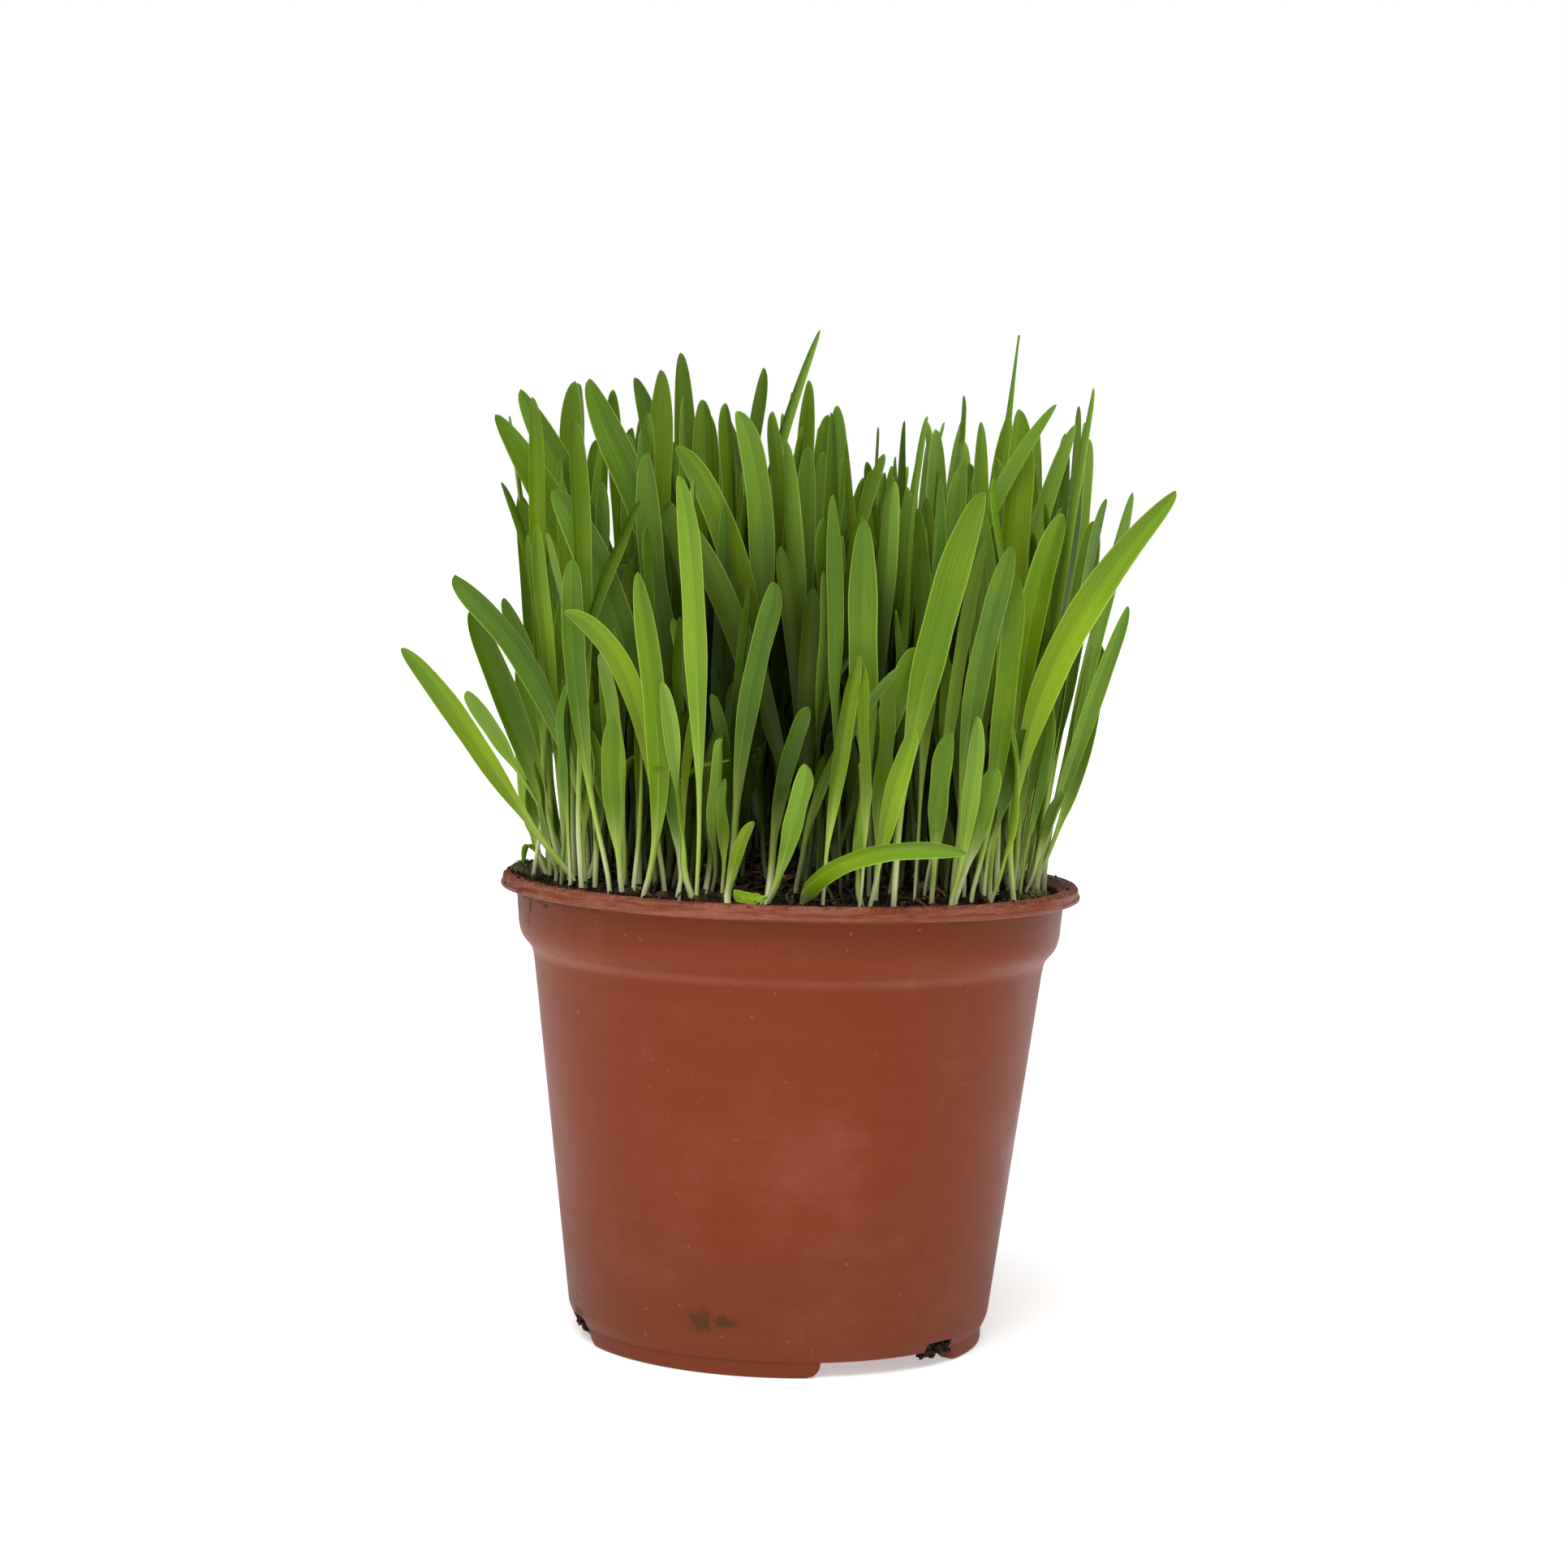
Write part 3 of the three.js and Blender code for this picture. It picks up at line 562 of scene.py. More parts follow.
def place_leaf(tuft, leaf, room, shoot):
    """Adds a leaf to its tuft and claims its room, if it is clear."""
    left, right, keel = solid_sections(leaf)
    on_keel = keel_samples(keel)
    if not room.is_clear(on_keel, tuft, shoot):
        return False
    on_face = face_samples(left, right, keel)
    if not room.is_clear(on_face, tuft, shoot):
        return False
    room.claim(np.concatenate((on_keel, on_face)), shoot)
    tuft.leaves.append(leaf)
    return True


def grow_chosen_leaves(tufts, room):
    """Each chosen leaf is bent forward or back, and its root moves inwards, until it is clear."""
    shoots = 0
    for choice in CHOSEN_LEAVES:
        x, y = choice["root"]
        tuft = nearest_tuft(tufts, choice["root"])
        tries = (
            chosen_leaf(choice, root_in(tuft, x, y, reach), shift)
            for shift in DEPTH_SHIFTS
            for reach in ROOT_REACHES
        )
        if any(place_leaf(tuft, leaf, room, shoots + 1) for leaf in tries):
            shoots += 1
    return shoots


def grow_other_leaves(tufts, room, shoots, seed):
    """Fills the tufts. Each shoot takes the first of its tries that is clear."""
    random = make_random(seed)
    for tuft in tufts:
        for place in range(SHOOTS_IN_TUFT):
            if random() < bareness(tuft.x, tuft.y):
                continue
            for _ in range(TRIES):
                leaf = drawn_leaf(tuft, place, random)
                if not place_leaf(tuft, leaf, room, shoots + 1):
                    continue
                shoots += 1
                if random() < YOUNG_SHARE:
                    place_leaf(tuft, young_leaf(leaf, random), room, shoots)
                break


def slender_leaf(reach, heights, random):
    """A thin leaf anywhere on the soil, which has no solid of its own."""
    x, y = around(reach * random() ** 0.45, FULL_TURN * random())
    root = root_at(x, y)
    height = TALLEST * mix(*heights, random())
    lean_x = x * OUTWARD_LEAN + swing(SLENDER_LEAN, random)
    lean_y = y * OUTWARD_LEAN + swing(SLENDER_LEAN, random)
    bow = mix(0.1, 0.6, random())
    kept = min(1, SLENDER_TIP_REACH / math.hypot(x + lean_x, y + lean_y))
    return Leaf(
        root=root,
        bend=root + (lean_x * bow, lean_y * bow, height * mix(0.45, 0.65, random())),
        tip=np.array(((x + lean_x) * kept, (y + lean_y) * kept, root[2] + height)),
        stem=SLENDER_SHEATH,
        width=mix(*SLENDER_WIDTHS, random()),
        face=math.atan2(y, x) + math.pi / 2 + swing(1.3, random),
        twist=swing(0.8, random),
        blunt=True,
    )


def grow_slender_leaves(tufts, room, count, reach, heights, random):
    """Fills the gaps among the shoots that have solids."""
    for _ in range(count):
        for _ in range(SLENDER_TRIES):
            leaf = slender_leaf(reach, heights, random)
            if is_bare(leaf.root) or random() < bareness(leaf.root[0], leaf.root[1]):
                continue
            left, right, keel = solid_sections(leaf)
            on_keel = keel_samples(keel)
            if not room.is_free(on_keel):
                continue
            on_face = face_samples(left, right, keel)
            if room.is_free(on_face):
                room.fill(on_keel)
                room.fill(on_face)
                nearest_tuft(tufts, leaf.root).leaves.append(leaf)
                break


def grow_edge_leaves(tufts, room):
    """The edge leaves stand where they are set, and keep the slender leaves off."""
    for choice in EDGE_LEAVES:
        leaf = chosen_leaf(choice, root_at(*choice["root"]), stem=SLENDER_SHEATH)
        left, right, keel = solid_sections(leaf)
        room.fill(face_samples(left, right, keel))
        nearest_tuft(tufts, leaf.root).leaves.append(leaf)


def grow_loose_leaves(tufts):
    """Small leaves that come off another leaf or lie at the soil's edge."""
    for choice in LOOSE_LEAVES:
        root = np.array(choice["root"], float)
        nearest_tuft(tufts, root).leaves.append(chosen_leaf(choice, root, stem=YOUNG_SHEATH))


def grow_tufts(seed):
    """All leaves, first those that have solids and in the order of the solid model."""
    tufts = make_tufts()
    room = Room()
    shoots = grow_chosen_leaves(tufts, room)
    grow_other_leaves(tufts, room, shoots, seed)
    grow_edge_leaves(tufts, room)
    random = make_random(seed)
    grow_slender_leaves(tufts, room, SLENDER_LEAVES, SLENDER_REACH, SLENDER_HEIGHTS, random)
    grow_slender_leaves(tufts, room, UNDERGROWTH, UNDERGROWTH_REACH, UNDERGROWTH_HEIGHTS, random)
    grow_loose_leaves(tufts)
    return tufts


# ---------------------------------------------------------------- settings


def colour(name, rgb, description):
    """A colour that a user may change, given in its everyday 0 to 255 values."""
    return FloatVectorProperty(name=name, description=description, default=paint(*rgb), subtype="COLOR")


def number(name, default, description, **limits):
    """A size, a share or a strength that a user may change."""
    return FloatProperty(name=name, description=description, default=default, **limits)


def whole_number(name, default, description, **limits):
    return IntProperty(name=name, description=description, default=default, **limits)


class PotSettings(bpy.types.PropertyGroup):
    """The nursery pot."""

    rim_radius: number("Rim radius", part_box("pot")[1].x, "Outer radius of the lip", unit="LENGTH")
    sides: whole_number("Sides", 192, "Steps in one turn of the wall", min=64)
    plastic: colour("Plastic", (121, 50, 22), "Colour of the terracotta plastic")
    # This colour also paints the highlights along the bead and the crease under the shoulder.
    faded_and_highlight: colour("Faded plastic", (174, 111, 94), "Colour where the lip and the shoulder are worn")
    # This colour also lays painted shade towards the bottom and under the lip.
    dirt_and_shade: colour("Dirt", (60, 42, 24), "Colour of the soil stains")
    roughness: number("Roughness", 0.42, "Roughness of the satin plastic", min=0, max=1)


class SoilSettings(bpy.types.PropertyGroup):
    """The potting soil and what lies on it."""

    dark: colour("Wet soil", (13, 10, 8), "Colour of the wet soil")
    bark: colour("Bark", (84, 60, 35), "Colour of the bark and fibres")
    moss: colour("Moss", (88, 86, 32), "Colour of the moss")
    seed_coat: colour("Grain", (150, 112, 62), "Colour of the sown grains")
    crumbs: whole_number("Crumbs", 7500, "How many crumbs lie on the soil", min=0)
    fibres: whole_number("Fibres", 1200, "How many fibres lie on the soil", min=0)
    grains: whole_number("Grains", 26, "How many grains lie on the soil", min=0)
    seed: whole_number("Seed", 7, "Seed of the litter's places")


class GrassSettings(bpy.types.PropertyGroup):
    """The young wheat."""

    seed: whole_number("Seed", 2, "Seed of the shoots' places, as in the solids")
    sheath: colour("Sheath", (238, 244, 184), "Colour at the foot of a shoot")
    # This colour also paints the highlight along the blades' edges.
    stem: colour("Stem", (180, 208, 88), "Colour above the foot, and of veins and edges")
    blade: colour("Blade", (106, 144, 4), "Colour of a blade's middle")
    tip: colour("Tip", (98, 137, 24), "Colour of a blade's tip")
    bluish: colour("Waxy blade", (92, 134, 36), "Colour of the waxy leaves")
    yellowish: colour("Sunlit blade", (136, 164, 4), "Colour of the yellower leaves")
    # The palest leaves get a wax film and a painted sheen in this colour.
    wax_and_sheen: colour("Bloom", (140, 168, 84), "Colour of the wax on the palest leaves")
    # The colour of the painted shade on leaves deep inside the mass, and of the darker veins.
    inner: colour("Inner leaf", (38, 54, 6), "Colour of the leaves deep inside the mass")
    light_through: number("Light through", 0.18, "Share of light that passes a blade", min=0, max=1)


class StageSettings(bpy.types.PropertyGroup):
    """The floor, the lights and the camera."""

    distance: number("Distance", 0.7, "From the pot's axis to the camera", unit="LENGTH")
    height: number("Height", 0.164, "Camera's height", unit="LENGTH")
    aside: number("Aside", -0.00195, "Camera's place across", unit="LENGTH")
    pitch: number("Pitch", math.radians(4.03), "How far the camera looks down", subtype="ANGLE")
    roll: number("Roll", math.radians(1.68), "How far the camera leans", subtype="ANGLE")
    lens: number("Lens", 77.67, "Focal length in millimetres")
    surround: number("Surround", 0.3, "Light from the white surround")
    key: number("Key light", 2.3, "Strength of the key light")
    fill: number("Fill light", 0.5, "Strength of the fill light")
    floor: colour("Floor", (251, 251, 250), "Colour of the floor")


# ---------------------------------------------------------------- making meshes and materials


def start_clean():
    """Back to object mode, with nothing selected."""
    if bpy.context.object and bpy.context.object.mode != "OBJECT":
        bpy.ops.object.mode_set(mode="OBJECT")
    bpy.ops.object.select_all(action="DESELECT")


def pick(obj):
    """Selects one object alone."""
    start_clean()
    obj.select_set(True)
    bpy.context.view_layer.objects.active = obj


def finish_piece(obj, name, node, material):
    """Names a piece, gives it its material, and lets it stand for its solid."""
    obj.name = name
    obj.data.name = name
    obj.data.materials.clear()
    obj.data.materials.append(material)
    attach(obj, "root")
    if node:
        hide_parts(node)
    return obj


def edit_all():
    """Into edit mode, with all of the mesh selected."""
    bpy.ops.object.mode_set(mode="EDIT")
    bpy.ops.mesh.select_all(action="SELECT")


def read_template():
    """The new mesh's vertices and faces, out of edit mode. The mesh is then removed."""
    bpy.ops.object.mode_set(mode="OBJECT")
    template = bpy.context.object
    vertices = np.array([v.co for v in template.data.vertices])
    faces = [list(face.vertices) for face in template.data.polygons]
    bpy.data.objects.remove(template)
    return vertices, faces


def object_from_copies(name, bodies, faces, tones=None):
    """One object from a template's copies: vertices in millimetres, and a tone for each copy."""
    bodies = np.asarray(bodies)
    count, shape = bodies.shape[:2]
    all_faces = [[index + copy * shape for index in face] for copy in range(count) for face in faces]
    mesh = bpy.data.meshes.new(name)
    mesh.from_pydata((bodies.reshape(-1, 3) * MM).tolist(), [], all_faces)
    obj = bpy.data.objects.new(name, mesh)
    bpy.context.scene.collection.objects.link(obj)
    if tones is not None:
        add_values(obj, "tone", np.repeat(tones, shape))
    return obj


def add_values(obj, name, values):
    """A number for each vertex, which a material reads by name."""
    attribute = obj.data.attributes.new(name, "FLOAT", "POINT")
    attribute.data.foreach_set("value", np.asarray(values, np.float32))


def soften(obj, degrees):
    """Shades an object smooth, except at edges that are sharper than so many degrees."""
    pick(obj)
    bpy.ops.object.shade_smooth_by_angle(angle=math.radians(degrees))


class Shader:
    """A material's nodes, added and joined in a few words."""

    def __init__(self, name):
        self.material = bpy.data.materials.new(name)
        self.material.use_nodes = True
        self.tree = self.material.node_tree
        self.tree.nodes.clear()

    def add(self, kind, sockets=None, **settings):
        node = self.tree.nodes.new("ShaderNode" + kind)
        for key, value in settings.items():
            setattr(node, key, value)
        for key, value in (sockets or {}).items():
            self.set(node, key, value)
        return node

    def set(self, node, key, value):
        socket = node.inputs[key]
        if isinstance(value, bpy.types.NodeSocket):
            self.tree.links.new(value, socket)
        elif hasattr(value, "__len__") and socket.type == "RGBA":
            socket.default_value = (*value[:3], 1)
        else:
            socket.default_value = value

    def math(self, operation, first, second=0.0, clamp=False):
        node = self.add("Math", {0: first, 1: second}, operation=operation, use_clamp=clamp)
        return node.outputs[0]

    def times(self, first, *others):
        """The product of several values."""
        for other in others:
            first = self.math("MULTIPLY", first, other)
        return first

    def value(self, name):
        return self.add("Attribute", attribute_name=name).outputs["Fac"]

    def place(self):
        return self.add("TexCoord").outputs["Object"]

    def stretched(self, vector, scale):
        return self.add("Mapping", {"Vector": vector, "Scale": scale}).outputs["Vector"]

    def noise(self, vector, scale, detail=3.0, roughness=0.5):
        sockets = {"Vector": vector, "Scale": scale, "Detail": detail, "Roughness": roughness}
        return self.add("TexNoise", sockets).outputs["Fac"]

    def between(self, value, low, high, out_low=0.0, out_high=1.0):
        """Carries a value smoothly from one range to another, and no further."""
        sockets = {
            "Value": value,
            "From Min": low,
            "From Max": high,
            "To Min": out_low,
            "To Max": out_high,
        }
        return self.add("MapRange", sockets, interpolation_type="SMOOTHSTEP").outputs["Result"]

    def mixed(self, share, first, second):
        """A number between two numbers."""
        return self.add("Mix", {0: share, 2: first, 3: second}).outputs[0]

    def band(self, value, middle, reach):
        """A soft band round one value."""
        away = self.math("ABSOLUTE", self.math("SUBTRACT", value, middle))
        return self.between(away, reach, 0)

    def most(self, first, *others):
        """The largest of several values."""
        for other in others:
            first = self.math("MAXIMUM", first, other)
        return first

    def blend(self, share, first, second):
        node = self.add("Mix", data_type="RGBA")
        self.set(node, "Factor", share)
        self.set(node, 6, first)
        self.set(node, 7, second)
        return node.outputs[2]

    def layers(self, colour, *layers):
        """Colours laid over a first one, each with its share."""
        for share, layer in layers:
            colour = self.blend(share, colour, layer)
        return colour

    def ramp(self, value, stops):
        node = self.add("ValToRGB", {"Fac": value})
        elements = node.color_ramp.elements
        while len(elements) < len(stops):
            elements.new(1)
        for element, (position, colour) in zip(elements, stops):
            element.position = position
            element.color = (*colour[:3], 1)
        return node.outputs["Color"]

    def surface(self, colour, roughness, relief, strength, depth, gloss=0.5):
        """A lit surface with a relief, whose depth is in millimetres."""
        sockets = {"Height": relief, "Strength": strength, "Distance": depth * MM}
        normal = self.add("Bump", sockets).outputs["Normal"]
        sockets = {"Base Color": colour, "Roughness": roughness, "Specular IOR Level": gloss}
        return self.add("BsdfPrincipled", {**sockets, "Normal": normal})

    def finish(self, shader):
        self.add("OutputMaterial", {"Surface": shader.outputs[0]})
        return self.material


# ---------------------------------------------------------------- pot


FOOT_CORNER = 2.6
FOOT_ROUNDING = 0.7
SLOT_CIRCLE, SLOT_HEIGHT = 41.6, 3.9
SLOT_SIZE = (8, 6, 2.6)
SLOT_ROUNDING = 0.8
WORN_RADIUS, WORN_HEIGHT = 56.9, 91  # the lip wears outside and above these
SUPPORT = 0.08  # a narrow strip beside each arc, as a share of its cut, which keeps flat faces flat


def rounded(corners, steps=5):
    """An outline whose corners are arcs. Each corner is a radius, a height and how far it is cut."""
    outline = []
    for i, (x, y, cut) in enumerate(corners):
        here = np.array((x, y), float)
        if cut == 0:
            outline.append(here)
            continue
        before = np.array(corners[i - 1][:2], float)
        after = np.array(corners[i + 1][:2], float)
        start = here + unit(before - here) * cut
        end = here + unit(after - here) * cut
        outline.append(start + (start - here) * SUPPORT)
        for share in np.linspace(0, 1, steps):
            outline.append((1 - share) ** 2 * start + 2 * (1 - share) * share * here + share**2 * end)
        outline.append(end + (end - here) * SUPPORT)
    return outline


def pot_outline():
    """From the middle of the underside, up the outside to the lip, and down the inside."""
    floor_top = FOOT_HEIGHT + WALL
    inner, outer = FOOT_RING
    return rounded((
        (0, FOOT_HEIGHT, 0),
        (30, FOOT_HEIGHT, 0),
        (inner, FOOT_HEIGHT, 0),
        (outer, FOOT_HEIGHT, 0),
        (42.7, 3.4, 0.12),  # the crease above the foot
        (43.8, 5.9, 0.9),
        (52.8, 78, 1.2),  # the top of the wall
        (53.3, 80.1, 0.8),
        (55.5, 82.7, 1.1),  # the shoulder
        (56.1, 84.9, 0.9),
        (56.7, 92.4, 0.5),  # the top of the collar
        (59.5, 92.5, 0.3),
        (RIM_RADIUS, 92.9, 0.15),
        (RIM_RADIUS, 93.5, 0.15),
        (59.7, 93.75, 0.12),
        (59.6, 95, 0.2),
        (59.1, POT_HEIGHT, 0.15),
        (57.1, POT_HEIGHT, 0.4),  # the inner edge of the lip
        (55.5, 94.4, 0.5),
        (54.9, 85.1, 0.9),
        (54.3, 83.2, 0.9),
        (52.1, 80.6, 0.9),
        (51.6, 78.1, 1.0),
        (42.8, 5.9, 0.8),
        (41.6, floor_top, 0.4),
        (0, floor_top, 0),
    ))


def spin_outline(outline, sides, start):
    """Draws an outline point by point and spins it once round, as on a wheel."""
    start_clean()
    places = [Vector((r * math.sin(start), -r * math.cos(start), z)) * MM for r, z in outline]
    bpy.ops.mesh.primitive_plane_add(size=1, location=(0, 0, 0))
    obj = bpy.context.object
    bpy.ops.object.mode_set(mode="EDIT")
    bpy.ops.mesh.select_mode(type="VERT")
    bpy.ops.mesh.merge(type="CENTER")
    bpy.ops.transform.translate(value=places[0])
    for here, there in zip(places, places[1:]):
        bpy.ops.mesh.extrude_region_move(TRANSFORM_OT_translate={"value": there - here})
    bpy.ops.mesh.select_all(action="SELECT")
    bpy.ops.mesh.spin(steps=sides, angle=FULL_TURN, center=(0, 0, 0), axis=(0, 0, 1))
    bpy.ops.mesh.select_all(action="SELECT")
    bpy.ops.mesh.remove_doubles(threshold=0.01 * MM)
    bpy.ops.mesh.normals_make_consistent(inside=False)
    bpy.ops.object.mode_set(mode="OBJECT")
    return obj


def select_faces(obj, wanted):
    """Selects the faces whose middle and normal are wanted."""
    bpy.ops.object.mode_set(mode="EDIT")
    bpy.ops.mesh.select_mode(type="FACE")
    bpy.ops.mesh.select_all(action="DESELECT")
    bpy.ops.object.mode_set(mode="OBJECT")
    for face in obj.data.polygons:
        face.select = wanted(face.center / MM, face.normal)
    bpy.ops.object.mode_set(mode="EDIT")


def is_on_foot(centre, normal):
    """Whether a face of the underside lies on one of the three arcs that are the feet."""
    radius = math.hypot(centre.x, centre.y)
    angle = math.degrees(math.atan2(centre.x, -centre.y))
    from_recess = (angle - FIRST_RECESS + RECESS_WIDTH / 2) % (360 / FEET)
    inner, outer = FOOT_RING
    is_flat = abs(centre.z - FOOT_HEIGHT) < 0.01 and normal.z < -0.9
    return is_flat and inner < radius < outer and from_recess > RECESS_WIDTH


def round_foot_ends(pot):
    """Raises the underside of each foot in a round corner at both of its ends."""
    for vertex in pot.data.vertices:
        x, y, z = vertex.co / MM
        if z > FOOT_HEIGHT - 0.01:
            continue
        angle = math.degrees(math.atan2(x, -y))
        from_recess = (angle - FIRST_RECESS - RECESS_WIDTH / 2) % (360 / FEET)
        from_end = min(from_recess, 360 / FEET - RECESS_WIDTH - from_recess)
        away = min(FOOT_CORNER, math.radians(max(0, from_end)) * math.hypot(x, y))
        corner = FOOT_CORNER - math.sqrt(FOOT_CORNER**2 - (FOOT_CORNER - away) ** 2)
        vertex.co.z = mix(z, FOOT_HEIGHT, corner / FOOT_HEIGHT) * MM


def cut_away(obj):
    """Cuts the object that was made last out of this one."""
    tool = bpy.context.object
    pick(obj)
    cut = obj.modifiers.new("cut", "BOOLEAN")
    cut.object = tool
    cut.operation = "DIFFERENCE"
    cut.solver = "EXACT"
    bpy.ops.object.modifier_apply(modifier=cut.name)
    bpy.data.objects.remove(tool)


def cut_drain_slot(pot, angle):
    """A slot through the lower corner of the wall, with rounded ends."""
    x, y = around(SLOT_CIRCLE, angle)
    start_clean()
    middle = (x * MM, y * MM, SLOT_HEIGHT * MM)
    bpy.ops.mesh.primitive_cube_add(size=1, location=middle, rotation=(0, 0, angle))
    bpy.context.object.scale = tuple(side * MM for side in SLOT_SIZE)
    bpy.ops.object.transform_apply(location=True, rotation=True, scale=True)
    edit_all()
    bpy.ops.mesh.bevel(offset=SLOT_ROUNDING * MM, segments=3, affect="EDGES")
    bpy.ops.object.mode_set(mode="OBJECT")
    cut_away(pot)


def cut_floor_hole(pot, angle):
    """A round hole through the pot's floor."""
    x, y = around(FLOOR_HOLE_CIRCLE, angle)
    start_clean()
    bpy.ops.mesh.primitive_cylinder_add(
        vertices=24,
        radius=FLOOR_HOLE_RADIUS * MM,
        depth=3 * WALL * MM,
        location=(x * MM, y * MM, (FOOT_HEIGHT + WALL / 2) * MM),
    )
    cut_away(pot)


def wear_rim(pot):
    """Nicks in the lip, most of them at its left end, and a slight wave all round."""
    for vertex in pot.data.vertices:
        x, y, z = vertex.co / MM
        radius = math.hypot(x, y)
        if radius < WORN_RADIUS or z < WORN_HEIGHT:
            continue
        at_left = float(smoothstep(-44, -60, x))
        place = Vector((x, y, z))
        nick = noise.noise(place * 0.55) * 0.6 + noise.noise(place * 1.7) * 0.4
        bite = max(0, nick - 0.1) * (0.4 + 3.2 * at_left)
        outward = 1 - min(0.05, bite * 0.9 / radius)
        droop = 0.22 * noise.noise(place * 0.05) - bite * (0.5 if z > 94 else -0.3)
        vertex.co = Vector((x * outward, y * outward, min(z + droop, POT_HEIGHT))) * MM


def plastic_material(settings):
    """Satin plastic, scuffed and paled by use, with soil stains on it, painted shade towards the bottom
    and under the lip, and painted highlights along the bead and the crease under the shoulder.
    """
    shader = Shader("nursery_plastic")
    place = shader.place()
    height = shader.add("SeparateXYZ", {"Vector": place}).outputs["Z"]
    across = shader.add("SeparateXYZ", {"Vector": place}).outputs["X"]
    clouds = shader.noise(place, 34, 5, 0.62)
    specks = shader.noise(place, 900, 2)
    scuffs = shader.noise(shader.stretched(place, (120, 120, 760)), 1.0, 6, 0.75)
    patches = shader.noise(shader.stretched(place, (170, 170, 420)), 1.0, 5, 0.7)
    on_lip = shader.between(height, 92.2 * MM, 92.6 * MM)

    colour = plastic_wear_and_highlights(shader, settings, place, height, clouds, specks, scuffs, patches, on_lip)
    stain_and_shade = shader.most(
        ledge_stains(shader, place, height, across, clouds, specks, patches, on_lip),
        *(smudge(shader, place, centre, reach) for centre, reach in SMUDGES),
        # Painted shade, darker towards the bottom.
        shader.between(height, 50 * MM, 0, 0, 0.26),
        # Painted shade on the collar under the lip.
        shader.between(height, 83 * MM, 91 * MM, 0, 0.16),
    )
    colour = shader.blend(stain_and_shade, colour, settings.dirt_and_shade)
    rough = shader.between(clouds, 0.3, 0.7, settings.roughness - 0.05, settings.roughness + 0.1)
    rough = shader.math("ADD", rough, shader.times(stain_and_shade, 0.35), clamp=True)
    grain = shader.math("ADD", shader.times(scuffs, 0.6), shader.times(specks, 0.2))
    return shader.finish(shader.surface(colour, rough, grain, 0.3, 0.15, gloss=0.14))


def plastic_wear_and_highlights(shader, settings, place, height, clouds, specks, scuffs, patches, on_lip):
    """The plastic's colour, paler in clouds, on the lip and where it is scratched, with painted highlights
    along the bead at the lip's lower edge and along the crease under the shoulder.
    """
    bands = shader.noise(shader.stretched(place, (26, 26, 260)), 1.0, 4, 0.6)
    streaks = shader.noise(shader.stretched(place, (95, 95, 1100)), 1.0, 5, 0.7)
    lip_wear = shader.times(on_lip, shader.between(streaks, 0.38, 0.62, 0.03, 0.55))
    # Painted highlight: a pale line along the bead at the lip's lower edge.
    bead = shader.band(height, 93.2 * MM, 0.5 * MM)
    bead = shader.times(bead, shader.between(clouds, 0.3, 0.6, 0.08, 0.5))
    # Painted highlight: a pale band along the crease under the shoulder.
    crease = shader.band(height, 79.8 * MM, 1.5 * MM)
    crease = shader.times(crease, shader.between(clouds, 0.3, 0.6, 0.08, 0.3))
    scratches = shader.times(shader.between(scuffs, 0.66, 0.74), shader.between(clouds, 0.42, 0.58))
    chips = shader.times(shader.between(specks, 0.7, 0.74), shader.between(patches, 0.5, 0.62))
    wear_and_highlights = (
        shader.between(bands, 0.45, 0.75, 0, 0.035),
        shader.between(clouds, 0.45, 0.75, 0, 0.17),
        shader.most(lip_wear, bead),
        crease,
        shader.most(shader.times(scratches, 0.4), shader.times(chips, 0.7)),
    )
    return shader.layers(settings.plastic, *((share, settings.faded_and_highlight) for share in wear_and_highlights))


def ledge_stains(shader, place, height, across, clouds, specks, patches, on_lip):
    """Soil that stays on the lip, under it, at its left end, low on the left and above the foot; the band
    under the lip is painted shade as well.
    """
    fine = shader.noise(place, 620, 5, 0.7)
    # Soil stains and painted shade in a band just under the lip.
    under_lip = shader.band(height, 91.8 * MM, 1.6 * MM)
    stain_and_shade = shader.most(
        shader.times(under_lip, shader.between(clouds, 0.38, 0.66, 0.15, 0.9)),
        shader.times(
            shader.between(across, -40 * MM, -56 * MM),
            shader.between(patches, 0.48, 0.64),
            shader.between(height, 84 * MM, 90 * MM),
        ),
        shader.times(on_lip, shader.between(across, 10 * MM, -50 * MM, 0.12, 0.42)),
        shader.times(shader.between(height, 94.3 * MM, 95.3 * MM), shader.between(fine, 0.38, 0.6)),
        shader.times(on_lip, shader.between(fine, 0.54, 0.66, 0, 0.6)),
        shader.times(
            shader.between(across, -30 * MM, -42 * MM),
            shader.between(height, 22 * MM, 9 * MM),
            shader.between(specks, 0.54, 0.66, 0, 0.7),
        ),
        shader.times(
            shader.between(height, 2.2 * MM, 3.4 * MM),
            shader.between(height, 4.8 * MM, 3.6 * MM),
            shader.between(clouds, 0.4, 0.7, 0, 0.2),
        ),
    )
    return shader.times(stain_and_shade, shader.between(specks, 0.36, 0.6, 0.35, 0.8))


SMUDGES = (  # middle, reach
    ((-15.4, -42, 11), (4.2, 9, 4)),
    ((-10.6, -43, 11.1), (6, 9, 2)),
    ((-40.5, -15, 6), (3, 8, 3)),
    ((-52.3, -20.5, 90), (0.6, 5, 2.6)),
    ((-48.6, -27.6, 91), (1.5, 5, 0.8)),
)


def smudge(shader, place, centre, reach):
    """A ragged smudge of soil round one point of the wall, in millimetres."""
    middle = tuple(c * MM for c in centre)
    scale = tuple(1 / (r * MM) for r in reach)
    offset = shader.add("VectorMath", {0: place, 1: middle}, operation="SUBTRACT").outputs[0]
    shaped = shader.add("VectorMath", {0: offset, 1: scale}, operation="MULTIPLY").outputs[0]
    away = shader.add("VectorMath", {0: shaped}, operation="LENGTH").outputs["Value"]
    ragged = shader.math("ADD", away, shader.times(shader.noise(place, 460, 8, 0.85), 2.4))
    return shader.between(ragged, 2.15, 1.4, 0, 0.78)


